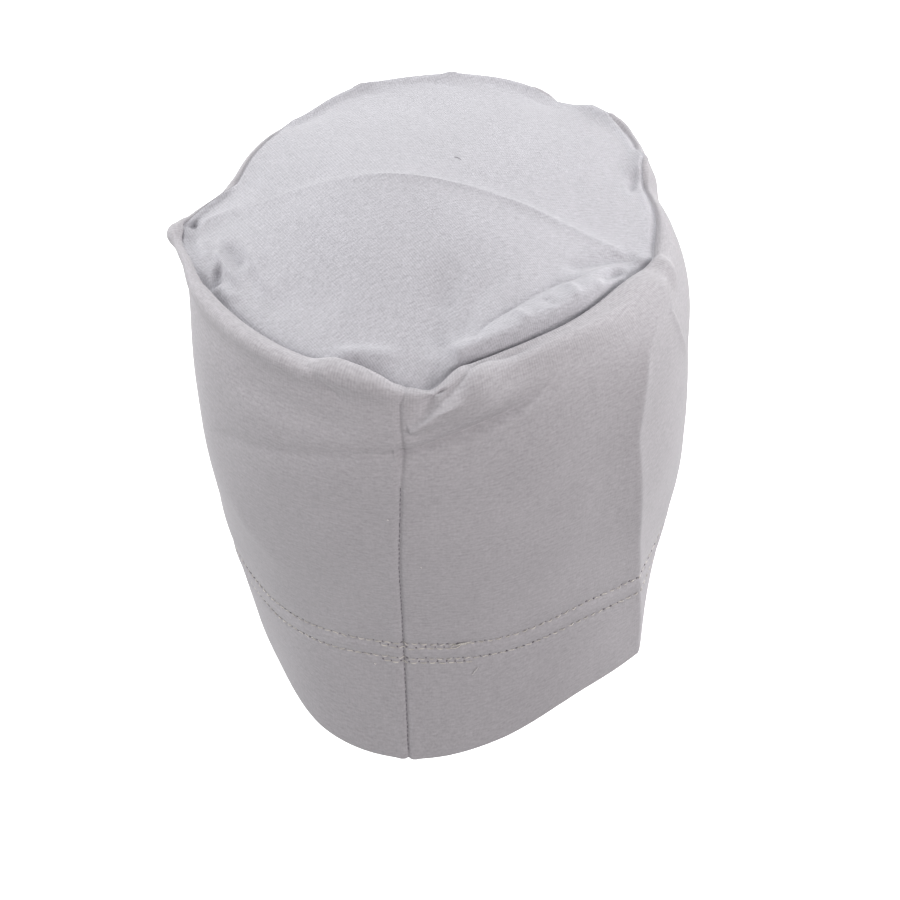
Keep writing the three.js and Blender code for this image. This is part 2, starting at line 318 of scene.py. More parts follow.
    def level_below(self, degrees: np.ndarray, distance: float) -> np.ndarray:
        """Level of the hem at a distance in mm below the upper stitch row."""
        lengths = self.profile(degrees)[1]
        return Level.CASING + distance / lengths[int(Level.CASING)]

    def level_above_edge(self, degrees: np.ndarray, distance: float) -> np.ndarray:
        """Level of the wall at a distance in mm above the bottom edge."""
        lengths = self.profile(degrees)[1]
        return Level.EDGE - distance / lengths[int(Level.CASING)]


@dataclass(frozen=True)
class Fold:
    """A fold, dent, pleat or pressed line along a path on the form.

    Sizes are in mm. The path is a row of (degrees, level) places, and the fold fades in and out over
    the two shares of its length. The taper is the share of its width that it has lost at its end.
    """

    panels: tuple[Panel, ...]
    kind: FoldKind
    width: float
    height: float
    fade_in: float
    fade_out: float
    path: tuple[tuple[float, float], ...]
    taper: float = 0.0
    steps: int = 24
    slow_side: float = 2.4
    slow_power: float = 1.8
    reach_widths: float = 5.0
    reach_extra: float = 2.0

    def curve(self, form: CapForm) -> np.ndarray:
        """Path as points in space, on a smooth curve through its places.

        Args:
            form: The plain form that the path lies on.

        Returns:
            Points in mm, one more than there are steps.
        """
        knots = form.any_point(np.array(self.path, float))
        padded = np.concatenate([[2 * knots[0] - knots[1]], knots, [2 * knots[-1] - knots[-2]]])
        t = np.linspace(0.0, len(knots) - 1.0, self.steps + 1)
        i = np.minimum(t.astype(int), len(knots) - 2)
        f = (t - i)[:, None]
        a, b, c, d = padded[i], padded[i + 1], padded[i + 2], padded[i + 3]
        square, cube = 2 * a - 5 * b + 4 * c - d, 3 * b - a - 3 * c + d
        return 0.5 * (2 * b + (c - a) * f + square * f**2 + cube * f**3)

    def height_at(self, distance: np.ndarray, along: np.ndarray) -> np.ndarray:
        """Height of the fold beside its path.

        Args:
            distance: Distances from the path in mm, above 0 on its right-hand side.
            along: Shares of the path's length.

        Returns:
            Heights in mm.
        """
        slim = 1.0 - self.taper * along * along
        width = self.width * slim
        if self.kind is FoldKind.RIDGE:
            return self.height * np.exp(-((distance / width) ** 2))
        if self.kind is FoldKind.CREASE:
            return self.height * np.exp(-np.abs(distance) / width)
        steep = np.sqrt(np.clip(1.0 - (distance / width) ** 2, 0.0, 1.0))
        slow = np.exp(-((np.abs(distance) / (width * self.slow_side)) ** self.slow_power))
        return self.height * slim * np.where(distance > 0.0, steep, slow)

    def move(self, form: CapForm, points: np.ndarray, normals: np.ndarray) -> np.ndarray:
        """How far the fold moves each point of the cloth.

        Args:
            form: The plain form that the path lies on.
            points: Points of the plain form, in mm.
            normals: Their outward normals.

        Returns:
            A displacement for each point, in mm.
        """
        curve = self.curve(form)
        moved = np.zeros_like(points)
        reach = self.reach_widths * self.width + self.reach_extra
        low, high = curve.min(axis=0) - reach, curve.max(axis=0) + reach
        near = np.flatnonzero(((points > low) & (points < high)).all(axis=1))
        if not len(near):
            return moved
        start, chord = curve[:-1], np.diff(curve, axis=0)
        offset = points[near][:, None, :] - start
        share = np.clip((offset * chord).sum(-1) / (chord**2).sum(-1), 0.0, 1.0)
        gap = np.linalg.norm(offset - share[..., None] * chord, axis=-1)
        best = gap.argmin(axis=1)
        n = np.arange(len(near))
        right_hand = unit(np.cross(chord[best], normals[near]))
        foot = start[best] + share[n, best][:, None] * chord[best]
        side = np.where(((points[near] - foot) * right_hand).sum(-1) < 0.0, -1.0, 1.0)
        distance = side * gap[n, best]
        along = (best + share[n, best]) / self.steps
        fade = smooth_step(along, 0.0, self.fade_in) * (1.0 - smooth_step(along, 1.0 - self.fade_out, 1.0))
        moved[near] = normals[near] * (self.height_at(distance, along) * fade)[:, None]
        return moved


@dataclass(frozen=True)
class Pull:
    """A place where the cloth of both panels is drawn outward or upward, in mm.

    The pull fades over its reach. A pointed one leaves a corner, the others a smooth swell or dent.
    """

    place: tuple[float, float]
    outward: float
    upward: float
    reach: float
    pointed: bool = False

    def move(self, form: CapForm, points: np.ndarray) -> np.ndarray:
        """How far the pull moves each point of the cloth.

        Args:
            form: The plain form that its place lies on.
            points: Points of the plain form, in mm.

        Returns:
            A displacement for each point, in mm.
        """
        centre = form.any_point(np.array([self.place], float))[0]
        gap = np.linalg.norm(points - centre, axis=-1) / self.reach
        share = np.exp(-gap if self.pointed else -gap * gap)
        angle = math.radians(self.place[0])
        shift = np.array([math.sin(angle) * self.outward, math.cos(angle) * self.outward, self.upward])
        return share[:, None] * shift


CROWN_ONLY, WALL_ONLY, BOTH = (Panel.CROWN,), (Panel.WALL,), (Panel.CROWN, Panel.WALL)
RIDGE, CREASE, ROLL = FoldKind.RIDGE, FoldKind.CREASE, FoldKind.ROLL

# Many paths below were picked by eye in the photo and turned into degrees and levels by a scratch script.
# They were then rounded, and many were changed.

# Pressed line across the crown from tip to tip, and the two tips
TIPS = (
    Fold(
        CROWN_ONLY, CREASE, 1.7, 0.7, 0.05, 0.05,
        ((92, -0.02), (94, -0.45), (90, -0.98), (-89, -0.5), (-86, -0.02)),
    ),
    Fold(CROWN_ONLY, CREASE, 7, 1.3, 0.3, 0.1, ((94, -0.45), (90, -0.98), (-89, -0.5), (-86, -0.02))),
    Fold(BOTH, RIDGE, 4, 2.2, 0.4, 0.4, ((90, -0.12), (89, 1), (86, 1.8))),
    Fold(BOTH, RIDGE, 4, 2.4, 0.4, 0.4, ((-88, -0.1), (-85, 1), (-81, 1.8))),
    Fold(CROWN_ONLY, CREASE, 1.6, -2.6, 0.1, 0.5, ((93, -0.015), (92, -0.05), (91, -0.1))),
    Fold(
        CROWN_ONLY, RIDGE, 3.2, -1.9, 0.3, 0.12,
        ((-60, -0.22), (-70, -0.17), (-80, -0.115), (-87, -0.03)),
    ),
    Fold(CROWN_ONLY, CREASE, 1.5, 1.1, 0.3, 0.1, ((-58, -0.14), (-71, -0.11), (-81, -0.075), (-87, -0.02))),
)
# Crown cloth puffed up beside the seam at the back right, and the valleys round it
PUFF_AXIS = (
    (-12.5, -0.045), (-20.5, -0.045), (-31.5, -0.055), (-52, -0.055),
    (-60, -0.05), (-70, -0.04), (-81, -0.035),
)
PUFF_TOP = (
    (-17, -0.06), (-23.5, -0.13), (-34.5, -0.165), (-51.5, -0.175), (-60, -0.14), (-71, -0.11), (-83, -0.08),
)
PUFF = (
    Fold(CROWN_ONLY, ROLL, 3.6, 3.9, 0.05, 0.3, PUFF_AXIS, slow_side=1.9),
    Fold(CROWN_ONLY, CREASE, 1.8, -1.4, 0.1, 0.3, PUFF_TOP),
    Fold(CROWN_ONLY, RIDGE, 1.7, 1.2, 0.3, 0.3, ((-33, -0.16), (-34, -0.03))),
    Fold(CROWN_ONLY, RIDGE, 1.7, 1.2, 0.3, 0.3, ((-57, -0.17), (-53, -0.09), (-50, -0.03))),
    Fold(CROWN_ONLY, RIDGE, 2.4, -0.9, 0.3, 0.3, ((-44, -0.14), (-43, -0.05))),
    Fold(CROWN_ONLY, RIDGE, 1.7, -1.7, 0.3, 0.2, ((-61, -0.035), (-69, -0.038), (-79, -0.04))),
    Fold(
        CROWN_ONLY, RIDGE, 6, -3.2, 0.3, 0.5,
        ((-11, -0.06), (-11.5, -0.15), (-12, -0.25), (-14.5, -0.36), (-20, -0.45), (-30, -0.5)),
    ),
    Fold(
        CROWN_ONLY, RIDGE, 2.6, -1.1, 0.2, 0.5,
        ((-15.5, -0.07), (-17, -0.13), (-20.5, -0.22), (-28, -0.3), (-41.5, -0.35), (-57, -0.35)),
    ),
    Fold(
        CROWN_ONLY, RIDGE, 1.5, -1.3, 0.3, 0.4,
        ((-79, -0.05), (-73, -0.055), (-67, -0.06), (-60, -0.075)),
    ),
    Fold(CROWN_ONLY, RIDGE, 4, 0.8, 0.3, 0.3, ((-12, -0.12), (-13, -0.22), (-16, -0.32))),
)
# Pits, dents and ridges of the crown beside the back and left rim
CROWN_DENTS = (
    Fold(CROWN_ONLY, RIDGE, 2.2, -1.4, 0.3, 0.3, ((13.5, -0.03), (10.5, -0.035), (6, -0.035), (1, -0.03))),
    Fold(
        CROWN_ONLY, RIDGE, 3, 1.7, 0.3, 0.3,
        ((18, -0.04), (14.5, -0.075), (10, -0.105), (4, -0.12), (-1, -0.11)),
    ),
    Fold(CROWN_ONLY, RIDGE, 1.8, -2.8, 0.2, 0.4, ((62.5, -0.04), (66, -0.055), (69, -0.085), (71, -0.12))),
    Fold(
        CROWN_ONLY, RIDGE, 1.3, 1.6, 0.2, 0.3,
        ((78, -0.14), (75, -0.12), (70, -0.12), (66, -0.12), (60, -0.12), (52, -0.1)),
    ),
    Fold(CROWN_ONLY, RIDGE, 2.4, -2.4, 0.3, 0.3, ((82, -0.16), (75, -0.18), (70, -0.185), (61, -0.18))),
    Fold(
        CROWN_ONLY, RIDGE, 1.5, 1.1, 0.3, 0.3,
        ((74, -0.245), (67, -0.235), (60, -0.225), (52.5, -0.2), (45, -0.175)),
    ),
    Fold(CROWN_ONLY, RIDGE, 2.2, 1.4, 0.3, 0.3, ((63, -0.045), (58, -0.05), (52, -0.055))),
    Fold(CROWN_ONLY, RIDGE, 2.2, 1.1, 0.3, 0.3, ((73, -0.06), (80, -0.07), (88, -0.09))),
    Fold(CROWN_ONLY, CREASE, 4, 1.6, 0.1, 0.7, ((91, -0.04), (93.5, -0.13), (95.5, -0.24), (96.5, -0.38))),
    Fold(CROWN_ONLY, RIDGE, 5, -1.4, 0.3, 0.3, ((64, -0.2), (55, -0.19), (44, -0.15), (34, -0.12))),
    Fold(CROWN_ONLY, RIDGE, 8, -1, 0.3, 0.3, ((50, -0.22), (35, -0.25), (20, -0.22))),
    Fold(CROWN_ONLY, RIDGE, 1.5, -1.4, 0.2, 0.4, ((-128, -0.02), (-122, -0.06), (-118, -0.11))),
)
# Gathers over the far rim
GATHERS = (
    Fold(BOTH, RIDGE, 7, 2, 0.3, 0.4, ((154, -0.08), (154, 1), (152, 2.2))),
    Fold(BOTH, RIDGE, 7, 2, 0.3, 0.4, ((173, -0.08), (174, 1), (174, 2.2))),
    Fold(BOTH, RIDGE, 7, 1.6, 0.3, 0.4, ((-167, -0.08), (-166, 1), (-167, 2.2))),
    Fold(BOTH, RIDGE, 7, 1.8, 0.3, 0.4, ((-148, -0.08), (-147, 1), (-149, 2.2))),
    Fold(BOTH, RIDGE, 6, 2, 0.3, 0.4, ((-128, -0.08), (-127, 1), (-128, 2.2))),
    Fold(WALL_ONLY, RIDGE, 3.4, 2.3, 0.4, 0.4, ((158, 0.9), (152, 0.7), (147, 0.8))),
    Fold(WALL_ONLY, RIDGE, 3.4, 2.0, 0.4, 0.4, ((168, 0.9), (173, 0.7), (178, 0.9))),
    Fold(WALL_ONLY, RIDGE, 3.4, 2.5, 0.4, 0.4, ((187, 0.9), (193, 0.7), (201, 0.9))),
    Fold(WALL_ONLY, RIDGE, 2.8, -1.8, 0.3, 0.3, ((93, 0.8), (99, 0.8), (107, 0.8))),
    Fold(
        WALL_ONLY, RIDGE, 7, -3.0, 0.12, 0.12,
        ((131, 1), (147, 1), (164, 1), (182, 1), (200, 1), (213, 1)),
    ),
)
# Pleat right of the back seam: the rim's roll runs down over the wall as a tapered tongue
TONGUE = (
    Fold(
        WALL_ONLY, ROLL, 6.8, 5.8, 0.5, 0.03,
        ((-28, 1.3), (-22.5, 1.47), (-18.5, 1.62), (-15.5, 1.79), (-11.5, 1.97), (-8.5, 2.05), (-2.8, 2.13)),
        taper=0.9, steps=48, slow_side=1.25,
    ),
    Fold(
        WALL_ONLY, RIDGE, 2.2, -2.6, 0.2, 0.5,
        ((-9.5, 1.05), (-8.6, 1.25), (-7.4, 1.5), (-6.0, 1.75), (-4.2, 1.97)),
    ),
    Fold(
        WALL_ONLY, RIDGE, 1.7, 1.4, 0.3, 0.04,
        ((-15, 1.74), (-12, 1.88), (-9, 2.0), (-6, 2.07), (-2.9, 2.13)),
    ),
    Fold(
        WALL_ONLY, RIDGE, 2.6, 1.0, 0.4, 0.4,
        ((-35, 1.75), (-28, 1.92), (-22, 2.03), (-16, 2.12), (-9, 2.25)),
    ),
    Fold(WALL_ONLY, RIDGE, 1.4, -0.7, 0.1, 0.5, ((-3, 2.19), (-6, 2.17), (-9.5, 2.12), (-13, 2.03))),
)
# Pressed lines and soft folds of the back
BACK_LINES = (
    Fold(
        WALL_ONLY, CREASE, 2.0, -1.2, 0.02, 0.25,
        ((-0.4, 2.335), (5.5, 2.35), (13, 2.42), (22.5, 2.52), (33, 2.62), (42, 2.7), (54, 2.9)),
    ),
    Fold(
        WALL_ONLY, CREASE, 2.6, -3.2, 0.6, 0.04, steps=36,
        path=(
            (-38, 1.95), (-33.5, 2.05), (-29.5, 2.1), (-25.5, 2.15),
            (-17, 2.2), (-10, 2.25), (-4, 2.31), (0, 2.335),
        ),
    ),
    Fold(WALL_ONLY, RIDGE, 1.7, -0.9, 0.3, 0.3, ((1.2, 2.29), (0, 2.335), (-1.6, 2.345))),
    Fold(
        WALL_ONLY, RIDGE, 2.6, 1.2, 0.35, 0.3,
        ((-11, 2.43), (-15, 2.36), (-20, 2.28), (-24.5, 2.22), (-29.5, 2.18), (-35, 2.12)),
    ),
    Fold(WALL_ONLY, RIDGE, 9, 1, 0.3, 0.3, ((45, 3), (20, 2.75), (-8, 2.6), (-32, 2.5))),
    Fold(
        WALL_ONLY, CREASE, 1.5, -1.3, 0.3, 0.3,
        ((27, 0.75), (22, 1.05), (18, 1.27), (15, 1.55), (12, 1.8), (9, 2)),
    ),
    Fold(WALL_ONLY, RIDGE, 3.2, 1.1, 0.3, 0.15, ((22, 1.15), (14, 1.12), (7, 1.02), (0, 1))),
    Fold(
        WALL_ONLY, RIDGE, 3.2, 1.9, 0.15, 0.2,
        ((-3, 1.22), (8, 1.25), (20, 1.28), (40, 1.25), (60, 1.25), (78, 1.2)),
    ),
    Fold(WALL_ONLY, RIDGE, 3.2, 2.2, 0.4, 0.35, ((24, 0.95), (17, 0.8), (12, 0.7), (6, 0.75), (0, 0.95))),
    Fold(WALL_ONLY, RIDGE, 3.4, -1.5, 0.2, 0.25, ((-17, 0.85), (-30, 0.8), (-50, 0.8), (-74, 0.85))),
    Fold(WALL_ONLY, RIDGE, 2.8, -1.5, 0.2, 0.4, ((-14, 0.85), (-20, 0.85), (-28, 0.85), (-38, 0.82))),
    Fold(WALL_ONLY, RIDGE, 6, -1.7, 0.3, 0.3, ((5, 2.16), (12, 2.14), (22, 2.14), (34, 2.12), (48, 2.1))),
    Fold(WALL_ONLY, RIDGE, 1.3, -0.5, 0.4, 0.5, ((-1.2, 2.44), (-4, 2.46), (-8, 2.47))),
    Fold(WALL_ONLY, RIDGE, 6, 0.7, 0.4, 0.4, ((50, 3.2), (38, 3.45), (24, 3.6))),
    Fold(WALL_ONLY, RIDGE, 6, -0.8, 0.4, 0.4, ((-14, 3.3), (-28, 3.2), (-42, 3.0))),
)
# Right side: a long edge from the tip to the hem's corner, and a fine line in front of it
SIDE_LINES = (
    Fold(
        WALL_ONLY, CREASE, 8.5, 3.1, 0.12, 0.001,
        (
            (-84.5, 1.1), (-75.5, 1.45), (-64, 2.02), (-58.5, 2.23), (-55.5, 2.73),
            (-56, 3.08), (-59.5, 3.55), (-64, 4.08), (-65.5, 4.62), (-65.5, 5.2),
        ),
    ),
    Fold(WALL_ONLY, CREASE, 1.3, 0.8, 0.2, 0.3, ((-73.5, 1.8), (-74.5, 2.12), (-77, 2.4), (-87, 3))),
    Fold(WALL_ONLY, CREASE, 1.2, -0.5, 0.3, 0.4, ((-46, 2.66), (-40, 2.74), (-34, 2.8))),
)
FOLDS = TIPS + PUFF + CROWN_DENTS + GATHERS + TONGUE + BACK_LINES + SIDE_LINES
# The two tips, the knob at the far right, and the flatter stretches of the far rim
PULLS = (
    Pull((-88, 0), 3.2, 0.8, 6, pointed=True),
    Pull((91, 0), 1.4, 0.5, 5, pointed=True),
    Pull((-125, 0.6), -4.0, -0.6, 14),
    Pull((-131, 0.1), 1.2, 1.2, 3),
    Pull((105, 0.6), -4.2, 0, 13),
    Pull((13, 0.4), -0.8, 1.5, 9),
    Pull((-4, 0.5), 0.6, -2.6, 9),
    Pull((-8, 0.55), 0.6, -3.6, 5),
    Pull((138, 0.3), 0, -2.8, 12),
    Pull((-163, 0.3), 0, -2.6, 13),
)


class Ditch(NamedTuple):
    """How far the seam is drawn down at one angle, and how wide its ditch is, in mm."""

    deg: float
    depth: float
    width: float


DITCH = (
    Ditch(-180, -1.4, 2.6),
    Ditch(-169, -1.4, 2.6),
    Ditch(-163, 0.8, 1.2),
    Ditch(-158, 0.0, 1.2),
    Ditch(-154, -2, 3),
    Ditch(-149, -1.5, 2.6),
    Ditch(-146, 1.6, 1.3),
    Ditch(-137, 2.0, 1.3),
    Ditch(-134, -1.2, 2.0),
    Ditch(-127, -1.4, 2.0),
    Ditch(-123, 1.8, 1.3),
    Ditch(-105, 1.9, 1.4),
    Ditch(-96, 1.6, 1.4),
    Ditch(-90, 1.0, 1.4),
    Ditch(-86, 1.4, 1.3),
    Ditch(-75, 2.0, 1.2),
    Ditch(-55, 2.6, 1.2),
    Ditch(-35, 3.0, 1.2),
    Ditch(-22, 3.5, 1.3),
    Ditch(-16, 3.6, 1.4),
    Ditch(-13, 2.2, 1.1),
    Ditch(-9, 0.5, 1.2),
    Ditch(-5, 0.6, 1.8),
    Ditch(0, 0.8, 2.0),
    Ditch(3, 2.4, 1.8),
    Ditch(6, 4.4, 2.2),
    Ditch(10, 5.2, 2.2),
    Ditch(13, 4.2, 2.0),
    Ditch(16, 0.6, 1.4),
    Ditch(30, 0.5, 1.3),
    Ditch(50, 0.9, 1.3),
    Ditch(60, 1.4, 1.5),
    Ditch(64, 3.0, 2.4),
    Ditch(69, 1.4, 2.0),
    Ditch(74, -1.0, 2.0),
    Ditch(103, -1.5, 2.0),
    Ditch(108, 1.2, 1.2),
    Ditch(128, 1.5, 1.2),
    Ditch(134, -1.3, 2.4),
    Ditch(146, -1.4, 2.6),
    Ditch(180, -1.4, 2.6),
)


@dataclass(frozen=True)
class WornCloth:
    """The form with its folds: where the outer side of the cloth lies, and which way is in."""

    form: CapForm
    thickness: float = 1.2
    gap: float = 0.3
    edge_return: float = 3.0
    folds: tuple[Fold, ...] = FOLDS
    pulls: tuple[Pull, ...] = PULLS
    crown_calm: float = 0.018
    wall_calm: float = 0.5
    seam_depth: float = 0.6
    seam_width: float = 0.8
    seam_swell: float = 0.35
    seam_swell_at: float = 3.0
    seam_swell_width: float = 2.0
    seam_pucker: float = 0.35
    seam_rise: tuple[float, float] = (0.1, 0.9)
    row_spacing: float = 7.5
    row_depth: float = 0.5
    row_width: float = 1.1
    row_bite: float = 0.4
    row_swell: float = 0.35
    row_swell_width: float = 2.2
    above_swell: float = 1.4
    above_height: float = 5.5
    above_width: float = 4.0
    stitch_pitch: float = 3.15
    seam_run: tuple[tuple[float, float], ...] = (
        (0.9, -1.7), (1.3, -1.5), (1.6, -0.8), (2.0, -0.9), (2.2, -1.4),
        (2.35, -1.7), (2.55, -1.35), (2.9, -1.0), (3.4, -0.3), (4.0, 0.0),
    )

    def seam_at(self, level: np.ndarray) -> np.ndarray:
        """Angle of the back seam at each level: it wanders a little to the right above the middle."""
        knots = np.array(self.seam_run)
        return np.interp(level, knots[:, 0], knots[:, 1])

    def place(self, panel: Panel, degrees: np.ndarray, level: np.ndarray) -> tuple[np.ndarray, np.ndarray]:
        """Outer side of the cloth.

        Args:
            panel: The panel of cloth.
            degrees: Angles from the centre back.
            level: Levels on the form.

        Returns:
            The points in mm, and the directions into the cloth.
        """
        points = self.form.point(panel, degrees, level)
        normals = self.form.normal(panel, degrees, level)
        moved = np.zeros_like(points)
        for fold in self.folds:
            if panel in fold.panels:
                moved += fold.move(self.form, points, normals)
        calm = self.crown_calm if panel is Panel.CROWN else self.wall_calm
        moved *= smooth_step(np.abs(level), 0.0, calm)[:, None]
        if panel is Panel.WALL:
            moved += normals * self.sewing(degrees, level)[:, None]
        moved[:, 2] -= self.ditch(panel, degrees, level)
        for pull in self.pulls:
            moved += pull.move(self.form, points)
        return points + moved, -normals

    def ditch(self, panel: Panel, degrees: np.ndarray, level: np.ndarray) -> np.ndarray:
        """How far the crown's seam draws the cloth down beside it.

        Args:
            panel: The panel of cloth.
            degrees: Angles from the centre back.
            level: Levels on the form.

        Returns:
            Distances in mm, above 0 downward.
        """
        knots = [row.deg for row in DITCH]
        turned = np.mod(degrees + 180.0, 360.0) - 180.0
        depth = np.interp(turned, knots, [row.depth for row in DITCH])
        width = np.interp(turned, knots, [row.width for row in DITCH])
        if panel is Panel.CROWN:
            reach = self.form.value("seam_r", degrees)
        else:
            reach = self.form.profile(degrees)[1][0]
        return depth * np.exp(-((level * reach / width) ** 2))

    def sewing(self, degrees: np.ndarray, level: np.ndarray) -> np.ndarray:
        """How the back seam and the hem's stitch rows draw the wall in, and the swell beside them.

        Args:
            degrees: Angles from the centre back.
            level: Levels on the form.

        Returns:
            Distances along the outward normal, in mm.
        """
        lengths = self.form.profile(degrees)[1]
        radius = self.form.value("bulge_r", degrees)
        turned = np.mod(degrees + 180.0, 360.0) - 180.0
        across = np.abs(np.radians(turned - self.seam_at(level)) * radius)
        down = (level - Level.CASING) * lengths[int(Level.CASING)]
        shape = -self.seam_depth * np.exp(-((across / self.seam_width) ** 2))
        pucker = 1.0 + self.seam_pucker * np.sin(2.0 * np.pi * down / (2.0 * self.stitch_pitch))
        beside = (across - self.seam_swell_at) / self.seam_swell_width
        shape += self.seam_swell * pucker * np.exp(-(beside**2))
        shape *= smooth_step(level, *self.seam_rise)
        along = np.radians(degrees) * radius
        bite = 1.0 + self.row_bite * np.cos(2.0 * np.pi * along / self.stitch_pitch)
        for row in (0.0, self.row_spacing):
            shape -= self.row_depth * bite * np.exp(-(((down - row) / self.row_width) ** 2))
        shape += self.row_swell * np.exp(-(((down - self.row_spacing / 2.0) / self.row_swell_width) ** 2))
        above = (down + self.above_height) / self.above_width
        shape += self.above_swell * self.row_swell * np.exp(-(above**2))
        return shape


def mesh_object(
    name: str, points: np.ndarray, faces: list[tuple[int, ...]], uv: list[tuple[float, float]] | None = None
) -> bpy.types.Object:
    """Smooth mesh object from points in mm.

    Args:
        name: Name of the piece.
        points: Vertices in mm.
        faces: Vertex numbers of each face, counter-clockwise from outside.
        uv: Cloth coordinates for each corner of each face, in mm, in the order of the faces.

    Returns:
        The object, linked into the scene.
    """
    mesh = bpy.data.meshes.new(name)
    mesh.from_pydata((points * MM).tolist(), [], faces)
    if uv is not None:
        layer = mesh.uv_layers.new(name="cloth_mm")
        layer.uv.foreach_set("vector", np.asarray(uv, np.float32).ravel())
    mesh.polygons.foreach_set("use_smooth", [True] * len(mesh.polygons))
    mesh.update()
    made = bpy.data.objects.new(name, mesh)
    bpy.context.scene.collection.objects.link(made)
    return made


def report(piece: bpy.types.Object) -> None:
    """Names a finished piece and its size in the log."""
    size = [round(x / MM, 1) for x in piece.dimensions]
    LOG.info("%s: %d faces, %s mm", piece.name, len(piece.data.polygons), size)


class Nodes:
    """Short way to add and join shader nodes in one material."""

    def __init__(self, name: str) -> None:
        """Starts a material with its own plain shader.

        Args:
            name: Name of the material.
        """
        self.material = bpy.data.materials.new(name)
        self.material.use_nodes = True
        self.tree = self.material.node_tree
        self.shader = self.tree.nodes["Principled BSDF"]

    def add(self, kind: str, inputs: dict[str, object] | None = None, **settings: object) -> bpy.types.Node:
        """Adds a node.

        Args:
            kind: Blender's name for the node.
            inputs: Value, or socket that feeds it, by the name or number of the input.
            settings: Properties of the node.

        Returns:
            The node.
        """
        node = self.tree.nodes.new(kind)
        for key, value in settings.items():
            setattr(node, key, value)
        for key, value in (inputs or {}).items():
            self.feed(node.inputs[int(key)] if key.isdigit() else node.inputs[key], value)
        return node

    def feed(self, socket: bpy.types.NodeSocket, value: object) -> None:
        """Sets an input to a value, or joins an output to it.

        Args:
            socket: The input.
            value: A value, or the output that feeds the input.
        """
        if isinstance(value, bpy.types.NodeSocket):
            self.tree.links.new(value, socket)
        else:
            socket.default_value = value

    def math(self, operation: str, a: object, b: object = 0.0) -> bpy.types.NodeSocket:
        """Result of one sum on two numbers."""
        return self.add("ShaderNodeMath", {"0": a, "1": b}, operation=operation).outputs[0]


@dataclass(frozen=True)
class RibShare:
    """How strongly the ribs show along their own length: a share at each end of a stretch, in mm."""

    start: float
    end: float
    share_start: float
    share_end: float


